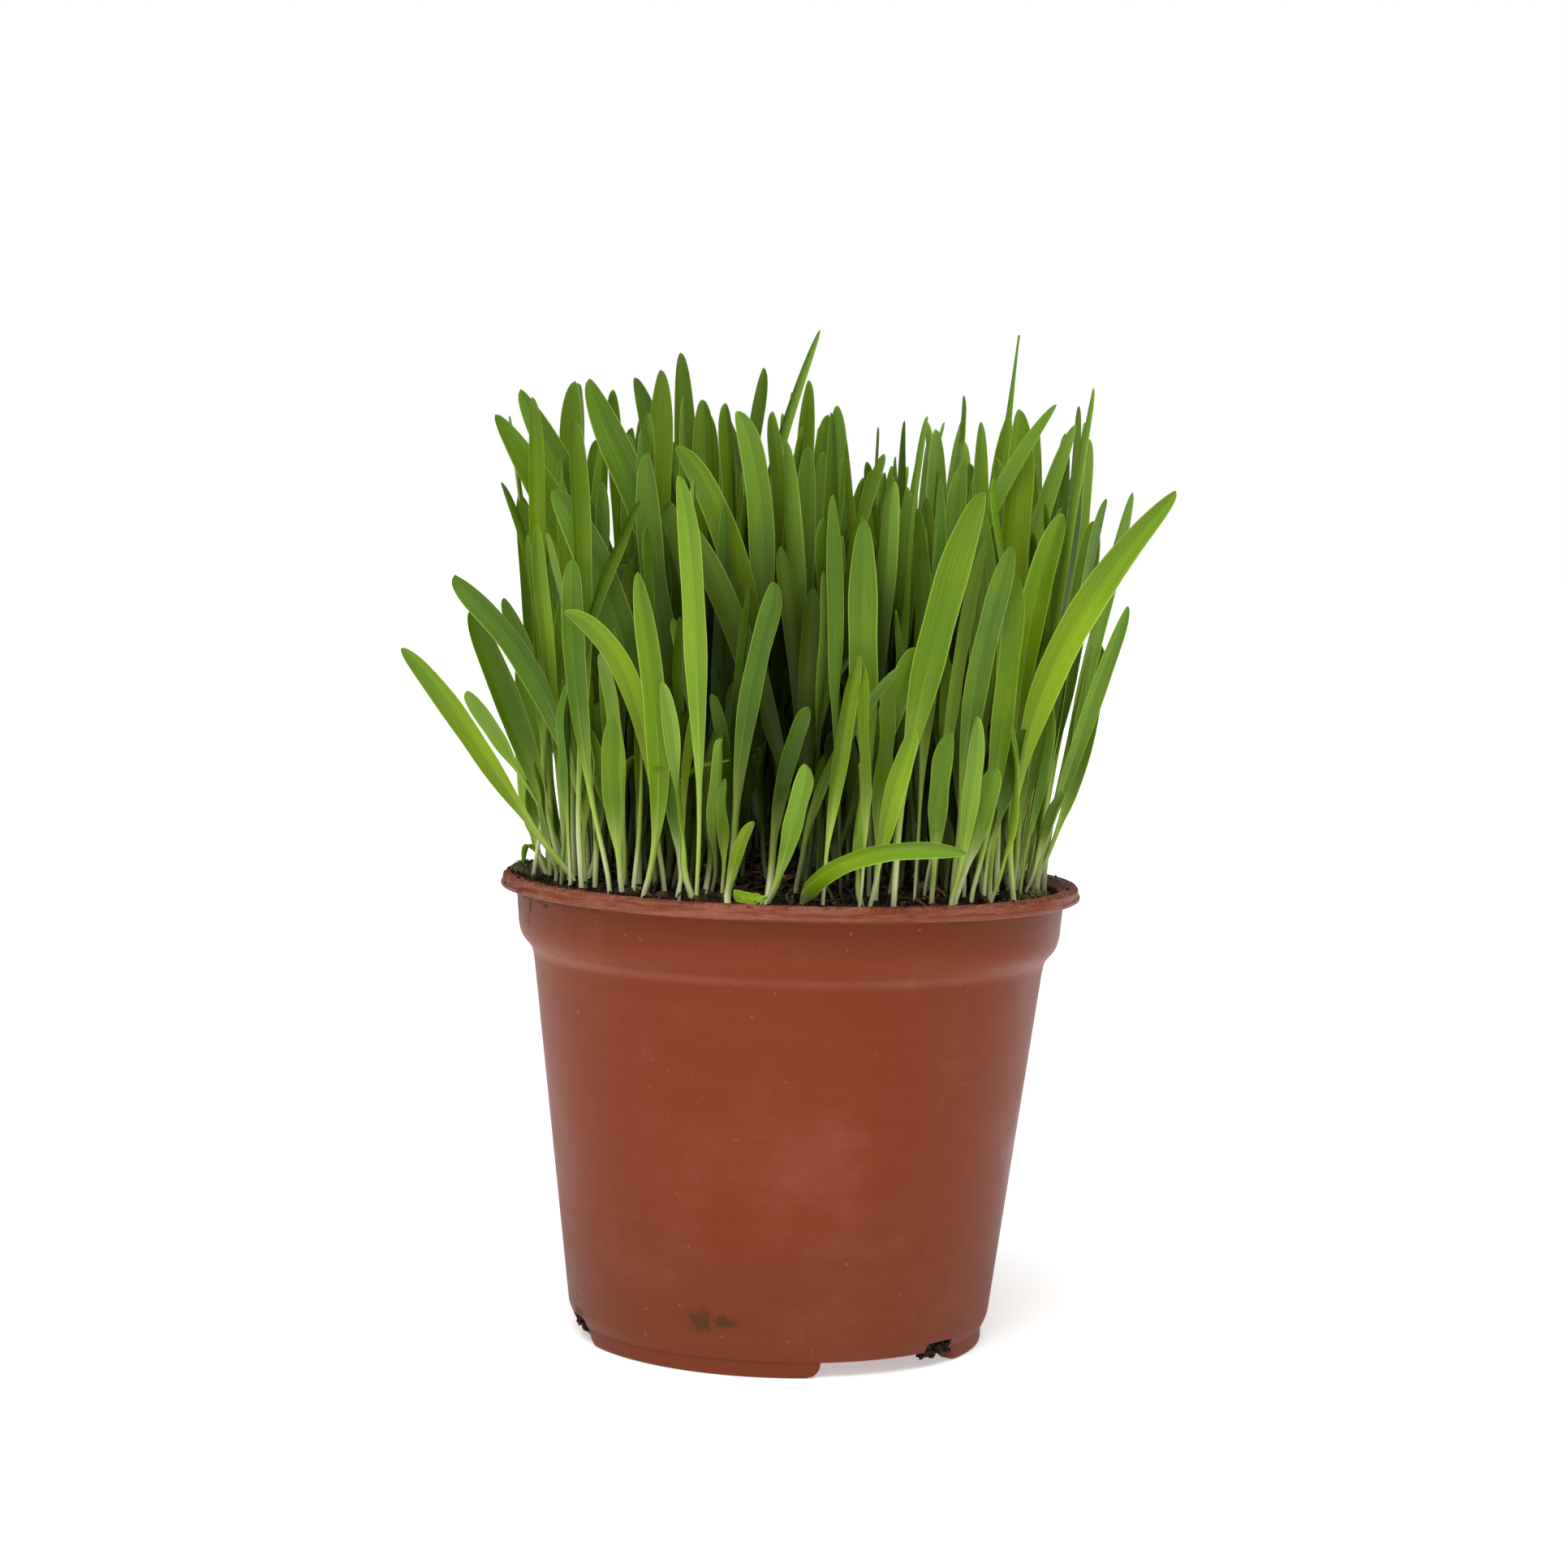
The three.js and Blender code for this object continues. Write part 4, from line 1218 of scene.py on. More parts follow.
class WHEATGRASS_OT_pot(bpy.types.Operator):
    """Turn the nursery pot, set it on its feet and cut its drain holes"""

    bl_idname = "wheatgrass.pot"
    bl_label = "Nursery Pot"

    def execute(self, context):
        settings = context.scene.wheatgrass_pot
        first_edge = math.radians(FIRST_RECESS - RECESS_WIDTH / 2)
        pot = spin_outline(pot_outline(), settings.sides, first_edge)
        size = settings.rim_radius / (RIM_RADIUS * MM)
        select_faces(pot, is_on_foot)
        bpy.ops.mesh.extrude_region_move(TRANSFORM_OT_translate={"value": (0, 0, -FOOT_HEIGHT * MM)})
        bpy.ops.mesh.region_to_loop()
        bpy.ops.mesh.bevel(offset=FOOT_ROUNDING * MM, segments=3, affect="EDGES")
        bpy.ops.mesh.select_all(action="SELECT")
        bpy.ops.transform.resize(value=(size, size, 1))
        bpy.ops.object.mode_set(mode="OBJECT")
        round_foot_ends(pot)
        for i in range(FEET):
            cut_drain_slot(pot, math.radians(FIRST_RECESS + SLOT_TURN) + i * FULL_TURN / FEET)
        for i in range(FLOOR_HOLES):
            cut_floor_hole(pot, i * FULL_TURN / FLOOR_HOLES)
        wear_rim(pot)
        soften(pot, 40)
        finish_piece(pot, "nursery_pot", "pot", plastic_material(settings))
        return {"FINISHED"}


# ---------------------------------------------------------------- soil


SOIL_RINGS, SOIL_SIDES = 80, 216
EVEN_EDGE = 3  # the width of the soil's edge, where its clods are lower


def soil_outline():
    """The sides and the underside stay a gap away from the pot; the top has many rings."""
    wall = [(0, 4.7), (41.3, 4.7), (42.4, 6), (51, 76.2), (51.4, 80.2), (53.8, 84.6)]
    return wall + [(SOIL_RADIUS * i / SOIL_RINGS, SOIL_EDGE) for i in range(SOIL_RINGS, -1, -1)]


def soil_relief(x, y):
    """Clods and hollows on the soil, in millimetres."""
    place = Vector((x, y, 0))
    clods = noise.fractal(place * 0.16, 0.9, 2.1, 5)
    crust = noise.fractal(place * 0.9 + Vector((9, 3, 1)), 0.8, 2.0, 3)
    return 0.75 * clods + 0.3 * crust


def raise_soil(soil):
    """Lays the top of the soil along its dome and its mound, with clods on it."""
    for vertex in soil.data.vertices:
        x, y, z = vertex.co / MM
        if z < SOIL_EDGE - 0.5:
            continue
        inside = float(smoothstep(SOIL_RADIUS, SOIL_RADIUS - EVEN_EDGE, math.hypot(x, y)))
        z = float(soil_top(x, y)) + inside * soil_relief(x, y)
        vertex.co.z = z * MM


def soil_material(settings):
    """Wet black peat with brown bark in it."""
    shader = Shader("potting_soil")
    place = shader.place()
    coarse = shader.noise(place, 240, 6, 0.7)
    fine = shader.noise(place, 1500, 4, 0.65)
    colour = shader.layers(
        settings.dark,
        (shader.between(coarse, 0.52, 0.72, 0, 0.24), settings.bark),
        (shader.between(fine, 0.35, 0.7, 0, 0.5), settings.dark),
    )
    relief = shader.math("ADD", coarse, shader.times(fine, 0.5))
    rough = shader.between(fine, 0.3, 0.7, 0.5, 0.9)
    return shader.finish(shader.surface(colour, rough, relief, 0.9, 0.8, gloss=0.15))


def litter_material(settings):
    """Crumbs and fibres, each with a tone of its own, from black peat to pale bark."""
    shader = Shader("soil_litter")
    place = shader.place()
    tone = shader.value("tone")
    fine = shader.noise(place, 1300, 4, 0.7)
    middle = between_colours(settings.dark, settings.bark, 0.35)
    pale = between_colours(settings.bark, settings.seed_coat, 0.75)
    stops = ((0, settings.dark), (0.55, middle), (0.86, settings.bark), (1, pale))
    colour = shader.ramp(tone, stops)
    colour = shader.blend(shader.between(fine, 0.4, 0.7, 0, 0.6), colour, settings.dark)
    rough = shader.between(fine, 0.3, 0.7, 0.5, 0.85)
    return shader.finish(shader.surface(colour, rough, fine, 0.6, 0.4, gloss=0.15))


class WHEATGRASS_OT_soil(bpy.types.Operator):
    """Fill the pot with potting soil"""

    bl_idname = "wheatgrass.soil"
    bl_label = "Potting Soil"

    def execute(self, context):
        settings = context.scene.wheatgrass_soil
        soil = spin_outline(soil_outline(), SOIL_SIDES, 0)
        raise_soil(soil)
        soften(soil, 60)
        finish_piece(soil, "potting_soil", "soil", soil_material(settings))
        return {"FINISHED"}


def turns(random, count):
    """So many turning matrices, evenly spread over all directions."""
    q = unit(random.normal(size=(count, 4)))
    w, x, y, z = q.T
    rows = (
        (1 - 2 * (y * y + z * z), 2 * (x * y - z * w), 2 * (x * z + y * w)),
        (2 * (x * y + z * w), 1 - 2 * (x * x + z * z), 2 * (y * z - x * w)),
        (2 * (x * z - y * w), 2 * (y * z + x * w), 1 - 2 * (x * x + y * y)),
    )
    return np.moveaxis(np.array(rows), 2, 0)


def scattered(random, count, reach):
    """Places all over the soil, as x and y."""
    radius = reach * np.sqrt(random.random(count))
    angle = FULL_TURN * random.random(count)
    return radius * np.sin(angle), -radius * np.cos(angle)


def crumb_template(size):
    """One angular crumb, as vertices and faces."""
    start_clean()
    bpy.ops.mesh.primitive_ico_sphere_add(subdivisions=size, radius=1)
    edit_all()
    bpy.ops.transform.vertex_random(offset=0.28, seed=3)
    return read_template()


def tube_template(sides, lengths):
    """A closed tube of rings: each vertex's angle round it and the ring that it is on, and faces."""
    start_clean()
    bpy.ops.mesh.primitive_circle_add(vertices=sides, radius=1, fill_type="NGON")
    edit_all()
    for _ in range(lengths):
        bpy.ops.mesh.extrude_region_move(TRANSFORM_OT_translate={"value": (0, 0, 1)})
    bpy.ops.mesh.select_all(action="SELECT")
    bpy.ops.mesh.normals_make_consistent(inside=False)
    vertices, faces = read_template()
    return np.arctan2(vertices[:, 1], vertices[:, 0]), np.rint(vertices[:, 2]).astype(int), faces


CRUMB_SIZES, CLOD_SIZES = (0.25, 1.1), (0.9, 1.7)
LITTER_EDGE, PIECE_EDGE = 1.5, 4  # how far crumbs, and fibres and grains, stay from the soil's edge
FIBRE_SIDES, FIBRE_STEPS = 5, 7


def crumb_heap(name, random, count, sizes, detail):
    """Crumbs all over the soil, turned and stretched at random."""
    shape, faces = crumb_template(detail)
    small, large = sizes
    x, y = scattered(random, count, SOIL_RADIUS - LITTER_EDGE)
    size = small * (large / small) ** (random.random(count) ** 2)
    stretch = random.uniform(0.6, 1.35, (count, 1, 3))
    bodies = (shape[None] * stretch * size[:, None, None]) @ turns(random, count)
    lift = soil_top(x, y) + random.uniform(-0.3, 0.45, count) * size
    bodies += np.stack((x, y, lift), axis=1)[:, None]
    return object_from_copies(name, bodies, faces, random.random(count) ** 2 * 0.75)


def fibre_heap(name, random, count):
    """Bark fibres and roots that lie bent on the soil."""
    angle, ring, faces = tube_template(FIBRE_SIDES, FIBRE_STEPS)
    share = ring / FIBRE_STEPS
    x, y = scattered(random, count, SOIL_RADIUS - PIECE_EDGE)
    length = random.uniform(2.5, 9, count)
    heading = FULL_TURN * random.random(count)
    curl = random.uniform(-1.6, 1.6, count)
    bodies = []
    for i in range(count):
        along = (share - 0.5) * length[i]
        turn = heading[i] + curl[i] * (share - 0.5)
        hop = random.uniform(0, 1.6) * np.sin(math.pi * share) + random.uniform(0.1, 0.5)
        girth = random.uniform(0.12, 0.75) * (1 - 0.8 * np.abs(2 * share - 1) ** 2)
        flat = random.uniform(0.15, 0.6)
        line_x = x[i] + along * np.cos(turn) + girth * np.cos(angle) * -np.sin(turn)
        line_y = y[i] + along * np.sin(turn) + girth * np.cos(angle) * np.cos(turn)
        line_z = soil_top(line_x, line_y) + hop + girth * flat * np.sin(angle)
        inside = np.minimum(1, (SOIL_RADIUS - 0.6) / np.hypot(line_x, line_y))
        bodies.append(np.stack((line_x * inside, line_y * inside, line_z), axis=1))
    return object_from_copies(name, bodies, faces, 0.3 + 0.65 * random.random(count) ** 1.6)


def stray_crumbs(name, random, angle, radius, height, size):
    """Crumbs off the soil, each at an angle, a radius and a height of its own."""
    shape, faces = crumb_template(1)
    count = len(angle)
    middle = np.stack((radius * np.sin(angle), -radius * np.cos(angle), height), axis=1)
    bodies = (shape[None] * size[:, None, None]) @ turns(random, count) + middle[:, None]
    return object_from_copies(name, bodies, faces, 0.6 * random.random(count))


def lip_crumbs(name, random, count):
    """Crumbs spilled on the lip, most of them at its left and along its inner edge."""
    angle = random.normal(-1.2, 1.1, count)
    radius = LIP_INSIDE + 2.6 * random.random(count) ** 2
    size = random.uniform(0.12, 0.42, count)
    return stray_crumbs(name, random, angle, radius, POT_HEIGHT + 0.3 * size, size)


def slot_crumbs(name, random, count):
    """Wet soil that fills the drain slots and clings below them."""
    slot = math.radians(FIRST_RECESS + SLOT_TURN) + random.integers(0, FEET, count) * FULL_TURN / FEET
    angle = slot + random.uniform(-0.11, 0.11, count)
    radius = random.uniform(40.6, 42.5, count)
    height = random.uniform(2.3, 4.8, count)
    return stray_crumbs(name, random, angle, radius, height, random.uniform(0.35, 0.75, count))


class WHEATGRASS_OT_litter(bpy.types.Operator):
    """Scatter crumbs, bark and fibres over the soil"""

    bl_idname = "wheatgrass.litter"
    bl_label = "Crumbs and Fibres"

    def execute(self, context):
        settings = context.scene.wheatgrass_soil
        random = np.random.default_rng(settings.seed)
        material = litter_material(settings)
        crumbs = crumb_heap("crumbs", random, settings.crumbs, CRUMB_SIZES, 1)
        clods = crumb_heap("clods", random, settings.crumbs // 16, CLOD_SIZES, 2)
        fibres = fibre_heap("fibres", random, settings.fibres)
        on_lip = lip_crumbs("lip_crumbs", random, settings.crumbs // 20)
        in_slots = slot_crumbs("slot_crumbs", random, settings.crumbs // 25)
        soften(clods, 50)
        soften(fibres, 60)
        for heap in (crumbs, clods, fibres, on_lip, in_slots):
            finish_piece(heap, heap.name, None, material)
        return {"FINISHED"}


GRAIN_SIZE = (1.5, 1.3, 3.1)
GRAIN_SINK = 0.5
CREASE_WIDTH, CREASE_DEPTH = 0.45, 0.5


def grain_template():
    """A wheat grain with its crease, as vertices and faces."""
    start_clean()
    bpy.ops.mesh.primitive_uv_sphere_add(segments=12, ring_count=8, radius=1)
    edit_all()
    bpy.ops.transform.resize(value=GRAIN_SIZE)
    vertices, faces = read_template()
    crease = np.exp(-((vertices[:, 0] / CREASE_WIDTH) ** 2)) * (vertices[:, 1] < 0)
    vertices[:, 1] += CREASE_DEPTH * crease
    return vertices, faces


def grain_material(settings):
    """The sown grains' dull brown coat, stained by the soil."""
    shader = Shader("grain_coat")
    place = shader.place()
    stains = shader.noise(place, 700, 4, 0.6)
    colour = shader.blend(shader.between(stains, 0.42, 0.66, 0, 0.75), settings.seed_coat, settings.dark)
    return shader.finish(shader.surface(colour, 0.5, stains, 0.4, 0.3))


class WHEATGRASS_OT_grains(bpy.types.Operator):
    """Lay the sown grains half into the soil"""

    bl_idname = "wheatgrass.grains"
    bl_label = "Grains"

    def execute(self, context):
        settings = context.scene.wheatgrass_soil
        random = np.random.default_rng(settings.seed + 1)
        shape, faces = grain_template()
        count = settings.grains
        x, y = scattered(random, count, SOIL_RADIUS - PIECE_EDGE)
        bodies = shape[None] @ turns(random, count)
        bodies += np.stack((x, y, soil_top(x, y) - GRAIN_SINK), axis=1)[:, None]
        grains = object_from_copies("grains", bodies, faces)
        soften(grains, 60)
        finish_piece(grains, "grains", None, grain_material(settings))
        return {"FINISHED"}


# ---------------------------------------------------------------- moss

MOSS_PLACES = ((-54.5, -7, 5), (-54.5, 3, 4.5), (47, -24, 5), (20, 48, 6), (-30, 40, 5))  # x, y, reach
MOSS_REACH = 57.4
MOSS_DENSITY, MOSS_HEIGHT = 14, 1.6


def moss_material(settings):
    """Short moss, each leaf of it from a dark or old to a fresh green."""
    shader = Shader("moss")
    place = shader.place()
    tone = shader.value("tone")
    old = between_colours(settings.moss, settings.bark, 0.65)
    fresh = between_colours(settings.moss, paint(150, 170, 60), 0.3)
    colour = shader.ramp(tone, ((0, settings.dark), (0.35, old), (0.75, settings.moss), (1, fresh)))
    return shader.finish(shader.surface(colour, 0.7, shader.noise(place, 1800, 2), 0.3, 0.2))


class WHEATGRASS_OT_moss(bpy.types.Operator):
    """Grow small cushions of moss on the soil's edge"""

    bl_idname = "wheatgrass.moss"
    bl_label = "Moss"

    def execute(self, context):
        settings = context.scene.wheatgrass_soil
        random = np.random.default_rng(settings.seed + 2)
        angle, ring, faces = tube_template(3, 2)
        share = ring / 2
        bodies = []
        for x0, y0, reach in MOSS_PLACES:
            for _ in range(int(MOSS_DENSITY * reach * reach)):
                away = reach * math.sqrt(random.random())
                x = x0 + away * math.cos(FULL_TURN * random.random())
                y = y0 + away * math.sin(FULL_TURN * random.random())
                if math.hypot(x, y) > MOSS_REACH:
                    continue
                is_on_lip = math.hypot(x, y) > SOIL_RADIUS
                ground = max(float(soil_top(x, y)), POT_HEIGHT - 0.2 if is_on_lip else 0)
                cushion = MOSS_HEIGHT * (1 - (away / reach) ** 2) + random.uniform(-0.3, 0.3)
                lean_x, lean_y = random.uniform(-0.8, 0.8, 2)
                girth = random.uniform(0.14, 0.26) * (1 - 0.8 * share)
                leaf_x = x + lean_x * share + girth * np.cos(angle)
                leaf_y = y + lean_y * share + girth * np.sin(angle)
                leaf_z = ground + cushion + share * random.uniform(0.6, 1.3) - 0.6
                bodies.append(np.stack((leaf_x, leaf_y, leaf_z), axis=1))
        moss = object_from_copies("moss", bodies, faces, random.random(len(bodies)))
        soften(moss, 60)
        finish_piece(moss, "moss", None, moss_material(settings))
        return {"FINISHED"}


# ---------------------------------------------------------------- shoots

BLADE_SIDES = 8
BLADE_RINGS = 28
THREAD_FROM = 0.84  # where a threaded leaf is only a thread
# The outline of the leaf mass; leaves far inside it get painted shade.
MASS_RADIUS, MASS_SPREAD, MASS_TOP = 50, 0.12, 188
LIT_FROM, LIT_TO = 98, 140  # between these heights the mass lets more light in from its sides
OFF_SOIL = 99  # stands for the distance to the soil of a leaf that doesn't come out of it
THINNEST = 0.06


class Habit:
    """What sets one leaf apart from the next: its slimness, turns, waves and bends."""

    def __init__(self, random, wildness):
        self.slim = random.uniform(0.42, 0.74)
        self.taper = random.random() ** 0.8
        self.broad = 0.97 - random.uniform(0, 0.28) * wildness
        self.fold = random.uniform(0.4, 1.4)
        self.curl = random.uniform(-0.3, 0.45)
        self.skew = random.uniform(-0.6, 0.6)
        self.waist_turn = random.normal(0, 0.55) * wildness
        self.tip_turn = random.normal(0, 0.3) * wildness
        self.tip_bend = random.uniform(-3.6, 3.6) * wildness
        self.sway = random.uniform(-0.6, 0.6, 2)
        self.phase = FULL_TURN * random.random(3)
        self.foot_angle = FULL_TURN * random.random()
        self.foot_bend = random.uniform(0, 2.6)


def blade_stations(ring):
    """How far along the leaf each ring is. They are closer together towards its round tip."""
    return 1 - (1 - ring / BLADE_RINGS) ** 1.6


def bent_line(leaf, habit, t):
    """The leaf's line with its own small bends, and its axes turned as the blade twists."""
    centre = leaf_line(leaf, t)
    _, across, back = leaf_axes(leaf, t)
    turn = habit.waist_turn * np.sin(math.pi * smoothstep(0.1, 0.75, t))
    turn = turn + habit.tip_turn * smoothstep(0.6, 1, t)
    across, back = (
        across * np.cos(turn)[:, None] + back * np.sin(turn)[:, None],
        back * np.cos(turn)[:, None] - across * np.sin(turn)[:, None],
    )
    rise = smoothstep(0, 0.25, t)
    centre += across * (habit.sway[0] * rise * np.sin(5 * t + habit.phase[0]))[:, None]
    centre += back * (habit.sway[1] * rise * np.sin(6 * t + habit.phase[1]))[:, None]
    centre += back * (habit.tip_bend * smoothstep(0.72, 1.1, t))[:, None]
    if leaf.stem.sunk:
        foot = habit.foot_bend * np.clip(1 - t / 0.18, 0, 1) ** 2
        centre[:, 0] += foot * math.cos(habit.foot_angle)
        centre[:, 1] += foot * math.sin(habit.foot_angle)
        centre[:, 2] -= np.where(t == 0, leaf.stem.sunk, 0)
    return centre, across, back


def blade_vertices(leaf, angle, t, random):
    """One leaf: a round sheath that opens into a thin folded blade."""
    habit = Habit(random, leaf.wildness)
    centre, across, back = bent_line(leaf, habit, t)
    over, through = np.cos(angle), np.sin(angle)
    opened = smoothstep(0.4 * leaf.opens, leaf.opens, t)
    thick = leaf_thickness(leaf, t) * mix(habit.slim, 1, opened)
    ripple = 1 + 0.03 * opened * np.sin(23 * t + habit.phase[2])
    share = mix(habit.slim, habit.broad, opened) / 2
    whole = blade_outline(leaf, habit.taper, np.minimum(t, 0.72)) * share
    half = blade_outline(leaf, habit.taper, t) * share * ripple
    half = np.maximum(THINNEST, half)
    skew = habit.skew if leaf.skew is None else leaf.skew
    centre += across * (skew * np.maximum(0, whole - half) * smoothstep(0.6, 0.8, t))[:, None]
    sheet = np.minimum(half, mix(0.34, 0.2, np.abs(over)))
    folded = thick * (-0.45 + 0.9 * habit.fold * (1 - np.abs(over) ** 1.4)) + habit.curl * over**4
    folded *= np.minimum(1, half / 1.2)
    depth = mix(0.05 * thick, folded, opened) + through * mix(thick, sheet, opened) / 2
    return centre + across * (half * over)[:, None] + back * depth[:, None]


def blade_outline(leaf, taper, t):
    """The width all along a blade, which closes in a round tip, an arched point or a thread."""
    widest = mix(0.87, 0.76, taper) if leaf.blunt else mix(0.78, 0.66, taper)
    body = mix(leaf.stem.width, leaf.width, smoothstep(0.55 * leaf.opens, 1.4 * leaf.opens, t))
    reach = THREAD_FROM if leaf.threaded else 1
    past = np.clip((t - widest) / (reach - widest), 0, 1)
    thread = mix(2.4, 0.5, smoothstep(0.7, 1, t)) if leaf.threaded else 0
    return np.maximum(body * np.sqrt(1 - past ** mix(2.8, 2.2, taper)), thread)


def blade_material(settings):
    """Pale sheath, green blade with veins, a painted highlight along its edges, a painted sheen on the
    palest leaves, painted light and shade across its halves, and painted shade deep inside the mass; each
    leaf leans to its own green.
    """
    shader = Shader("wheat_leaf")
    place = shader.place()
    marks = shader.add("SeparateXYZ", {"Vector": shader.add("UVMap", uv_map="blade").outputs["UV"]})
    over, along = marks.outputs["X"], marks.outputs["Y"]
    tone = shader.value("tone")
    shift = shader.times(shader.math("SUBTRACT", tone, 0.5), 0.2)
    ripeness = shader.math("ADD", along, shift)
    clouds = shader.noise(place, 90, 3)
    own_grain = {"X": over, "Y": shader.times(along, 0.08), "Z": shader.times(tone, 9)}
    lines = shader.noise(shader.add("CombineXYZ", own_grain).outputs[0], 26, 3, 0.6)

    colour = shader.layers(
        leaf_greens(shader, settings, ripeness, clouds, shader.noise(place, 28, 2)),
        (shader.between(shader.value("from_soil"), 12, 1, 0, 0.85), settings.sheath),
        # Wax and a painted sheen on the palest leaves.
        (shader.between(tone, 0.6, 0.95, 0, 0.28), settings.wax_and_sheen),
        (shader.between(lines, 0.5, 0.7, 0, 0.16), settings.stem),
        (shader.between(lines, 0.5, 0.3, 0, 0.18), settings.inner),
        # The pale midrib, and a painted highlight along the edges.
        (pale_lines(shader, over, along), settings.stem),
    )
    brightness = leaf_brightness(shader, over, tone, ripeness)
    colour = shader.add("HueSaturation", {"Color": colour, "Value": brightness}).outputs[0]
    # Painted shade: leaves deep inside the mass turn towards the dark inner green.
    colour = shader.blend(shader.between(shader.value("painted_shade"), 0, 1, 0, 0.88), colour, settings.inner)

    rough = shader.between(clouds, 0.3, 0.7, 0.38, 0.5)
    surface = shader.surface(colour, rough, lines, 0.2, 0.08, gloss=0.22)
    through = shader.add("HueSaturation", {"Color": colour, "Saturation": 1.1, "Value": 1.1}).outputs[0]
    glow = shader.add("BsdfTranslucent", {"Color": through})
    both = {0: settings.light_through, 1: surface.outputs[0], 2: glow.outputs[0]}
    return shader.finish(shader.add("MixShader", both))


def leaf_greens(shader, settings, ripeness, clouds, drift):
    """From the sheath to the tip, with the blade between yellowish and bluish."""
    warmth = shader.value("warmth")
    blade = shader.layers(
        settings.blade,
        (shader.between(warmth, 0.5, 1, 0, 0.85), settings.yellowish),
        (shader.between(warmth, 0.45, 0.05), settings.bluish),
        (shader.between(clouds, 0.4, 0.7, 0, 0.35), settings.yellowish),
        (shader.between(drift, 0.42, 0.62, 0, 0.35), settings.bluish),
    )
    return shader.layers(
        settings.sheath,
        (shader.between(ripeness, 0, 0.18), settings.stem),
        (shader.between(ripeness, 0.14, 0.5), blade),
        (shader.between(ripeness, 0.66, 1, 0, 0.7), settings.tip),
    )


def pale_lines(shader, over, along):
    """The midrib of the lower half, and a painted highlight along both edges."""
    from_middle = shader.math("ABSOLUTE", shader.math("SUBTRACT", over, 0.5))
    painted_edge_highlight = shader.between(from_middle, 0.44, 0.495, 0, 0.65)
    midrib = shader.times(shader.between(from_middle, 0.07, 0, 0, 0.5), shader.between(along, 0.65, 0.3))
    return shader.times(shader.most(painted_edge_highlight, midrib), shader.between(along, 0.15, 0.35))


def leaf_brightness(shader, over, tone, ripeness):
    """Each leaf has its own brightness, and one half of a blade is lighter than the other: painted light
    on one half and painted shade on the other.
    """
    own = shader.mixed(shader.between(ripeness, 0.08, 0.45), 1.05, shader.between(tone, 0, 1, 0.66, 1.13))
    # Painted light and shade: one half of each blade lighter, the other darker.
    lit_half = shader.math("SINE", shader.times(tone, 60))
    painted_half_shading = shader.times(shader.between(over, 0.4, 0.6, -0.14, 0.14), lit_half)
    return shader.times(own, shader.between(ripeness, 0.1, 0.8, 0.9, 1.06), shader.math("ADD", painted_half_shading, 1))


def blade_marks(obj, over, along):
    """The leaf's own map: across it from edge to edge, and along it from root to tip."""
    layer = obj.data.uv_layers.new(name="blade")
    corners = np.zeros(len(obj.data.loops), np.int32)
    obj.data.loops.foreach_get("vertex_index", corners)
    layer.data.foreach_set("uv", np.stack((over[corners], along[corners]), axis=1).ravel())


def distance_from_soil(leaf, t):
    """How far a leaf's points are from the soil, along the leaf."""
    length = np.linalg.norm(leaf.bend - leaf.root) + np.linalg.norm(leaf.tip - leaf.bend)
    return t * length + (0 if leaf.stem.sunk else OFF_SOIL)


def painted_shade(body):
    """How far a point is inside the mass of leaves, from 0 at its outside to 1: the share of painted shade
    that darkens the leaves inside the mass.
    """
    x, y, z = body.T
    from_side = MASS_RADIUS + MASS_SPREAD * (z - POT_HEIGHT) - np.hypot(x, y)
    from_side *= 3.2 - 2.2 * smoothstep(LIT_FROM, LIT_TO, z)
    from_top = 0.62 * (MASS_TOP - z)
    return smoothstep(3, 32, np.minimum(from_side, from_top))


def make_shoots(name, leaves, template, random):
    """The leaves of one tuft as one mesh."""
    angle, ring, faces = template
    t = blade_stations(ring)
    bodies = [blade_vertices(leaf, angle, t, random) for leaf in leaves]
    greens = [leaf.green or Green(*random.random(2)) for leaf in leaves]
    obj = object_from_copies(name, bodies, faces, [green.tone for green in greens])
    ripeness = np.concatenate([mix(leaf.ripe_from, 1, t) for leaf in leaves])
    blade_marks(obj, np.tile((1 + np.cos(angle)) / 2, len(leaves)), ripeness)
    add_values(obj, "warmth", np.repeat([green.warmth for green in greens], len(angle)))
    from_soil = [distance_from_soil(leaf, t) * random.uniform(0.7, 2.4) for leaf in leaves]
    add_values(obj, "from_soil", np.concatenate(from_soil))
    add_values(obj, "painted_shade", np.concatenate([painted_shade(body) for body in bodies]))
    soften(obj, 70)
    return obj


class WHEATGRASS_OT_shoots(bpy.types.Operator):
    """Grow the young wheat, tuft by tuft"""

    bl_idname = "wheatgrass.shoots"
    bl_label = "Wheat Shoots"

    def execute(self, context):
        settings = context.scene.wheatgrass_grass
        template = tube_template(BLADE_SIDES, BLADE_RINGS)
        material = blade_material(settings)
        random = np.random.default_rng(settings.seed)
        for index, tuft in enumerate(grow_tufts(settings.seed)):
            number = f"{index + 1:02d}"
            shoots = make_shoots(f"shoots_{number}", tuft.leaves, template, random)
            finish_piece(shoots, f"shoots_{number}", f"tuft_{number}", material)
        return {"FINISHED"}


# ---------------------------------------------------------------- stage


FLOOR_SIZE = 60
KEY_SPREAD, FILL_SPREAD = 44, 60


def add_soft_light(name, toward, spread, strength):
    """A large soft light far away, which shines in the direction given."""
    start_clean()
    bpy.ops.object.light_add(type="SUN", location=(0, 0, 1))
    light = bpy.context.object
    light.name = name
    light.data.angle = math.radians(spread)
    light.data.energy = strength
    light.rotation_euler = Vector(toward).to_track_quat("-Z", "Y").to_euler()


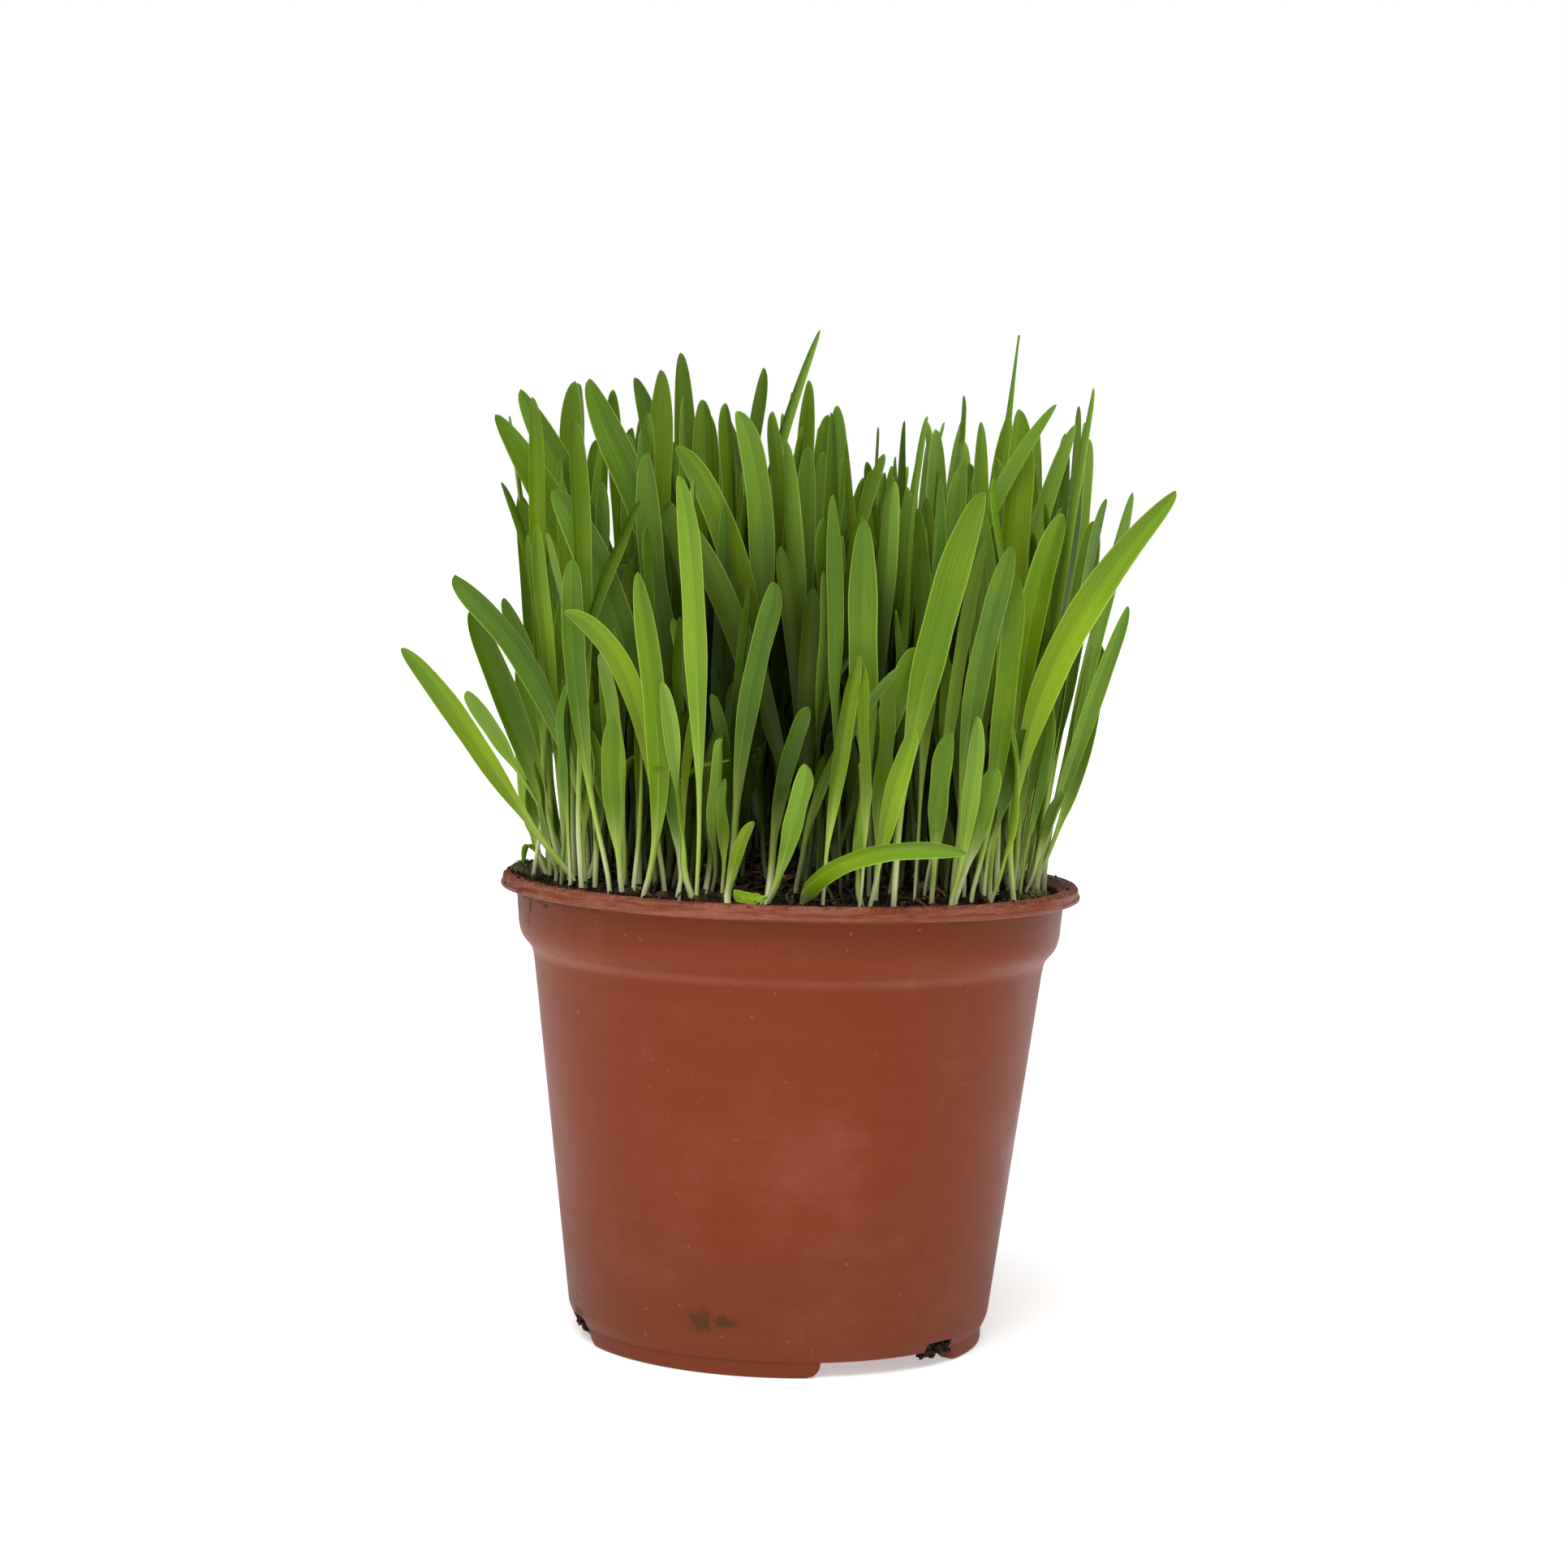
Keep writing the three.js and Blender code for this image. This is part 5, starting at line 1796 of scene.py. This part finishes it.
def white_surround(settings):
    """A white studio: its light on the object is dimmer than the white that shows behind it."""
    world = bpy.data.worlds.new("white_surround")
    world.use_nodes = True
    nodes, links = world.node_tree.nodes, world.node_tree.links
    soft = nodes["Background"]
    shown = nodes.new("ShaderNodeBackground")
    for background, strength in ((soft, settings.surround), (shown, 1)):
        background.inputs["Color"].default_value = (1, 1, 1, 1)
        background.inputs["Strength"].default_value = strength
    both = nodes.new("ShaderNodeMixShader")
    links.new(nodes.new("ShaderNodeLightPath").outputs["Is Camera Ray"], both.inputs[0])
    links.new(soft.outputs[0], both.inputs[1])
    links.new(shown.outputs[0], both.inputs[2])
    links.new(both.outputs[0], nodes["World Output"].inputs["Surface"])
    return world


class WHEATGRASS_OT_stage(bpy.types.Operator):
    """Set up the pale floor, the soft lights and the camera"""

    bl_idname = "wheatgrass.stage"
    bl_label = "Stage"

    def execute(self, context):
        settings = context.scene.wheatgrass_stage
        start_clean()
        bpy.ops.mesh.primitive_plane_add(size=FLOOR_SIZE, location=(0, 0, 0))
        floor = context.object
        floor.name = "floor"
        shader = Shader("pale_floor")
        sockets = {
            "Base Color": settings.floor,
            "Roughness": 1.0,
            "Specular IOR Level": 0.0,
            "Emission Color": settings.floor,
            "Emission Strength": 0.45,
        }
        floor.data.materials.append(shader.finish(shader.add("BsdfPrincipled", sockets)))

        context.scene.world = white_surround(settings)
        context.scene.view_settings.view_transform = "Standard"
        add_soft_light("key", (0.1, 0.5, -1), KEY_SPREAD, settings.key)
        add_soft_light("fill", (0.3, 1, -0.5), FILL_SPREAD, settings.fill)

        place = (settings.aside, -settings.distance, settings.height)
        bpy.ops.object.camera_add(location=place)
        camera = context.object
        camera.data.lens = settings.lens
        camera.data.sensor_width = 36
        camera.rotation_euler = (math.pi / 2 - settings.pitch, 0, 0)
        camera.rotation_euler.rotate_axis("Z", settings.roll)
        context.scene.camera = camera
        return {"FINISHED"}


# ---------------------------------------------------------------- panel and registration

OPERATORS = (
    WHEATGRASS_OT_stage,
    WHEATGRASS_OT_pot,
    WHEATGRASS_OT_soil,
    WHEATGRASS_OT_litter,
    WHEATGRASS_OT_grains,
    WHEATGRASS_OT_moss,
    WHEATGRASS_OT_shoots,
)

SETTINGS = {
    "wheatgrass_pot": PotSettings,
    "wheatgrass_soil": SoilSettings,
    "wheatgrass_grass": GrassSettings,
    "wheatgrass_stage": StageSettings,
}


class WHEATGRASS_PT_panel(bpy.types.Panel):
    """Lists the settings and the steps in their order"""

    bl_idname = "WHEATGRASS_PT_panel"
    bl_label = "Wheatgrass Pot"
    bl_space_type = "VIEW_3D"
    bl_region_type = "UI"
    bl_category = "Wheatgrass"

    def draw(self, context):
        for operator in OPERATORS:
            self.layout.operator(operator.bl_idname)
        for name, group in SETTINGS.items():
            box = self.layout.box()
            box.label(text=group.__doc__)
            for field in group.__annotations__:
                box.prop(getattr(context.scene, name), field)


def register():
    for group in SETTINGS.values():
        bpy.utils.register_class(group)
    for name, group in SETTINGS.items():
        setattr(bpy.types.Scene, name, PointerProperty(type=group))
    for operator in OPERATORS:
        bpy.utils.register_class(operator)
    bpy.utils.register_class(WHEATGRASS_PT_panel)


def unregister():
    bpy.utils.unregister_class(WHEATGRASS_PT_panel)
    for operator in reversed(OPERATORS):
        bpy.utils.unregister_class(operator)
    for name, group in SETTINGS.items():
        delattr(bpy.types.Scene, name)
        bpy.utils.unregister_class(group)


def main():
    register()
    bpy.ops.wheatgrass.stage()
    bpy.ops.wheatgrass.pot()
    bpy.ops.wheatgrass.soil()
    bpy.ops.wheatgrass.litter()
    bpy.ops.wheatgrass.grains()
    bpy.ops.wheatgrass.moss()
    bpy.ops.wheatgrass.shoots()


if __name__ == "__main__":
    main()
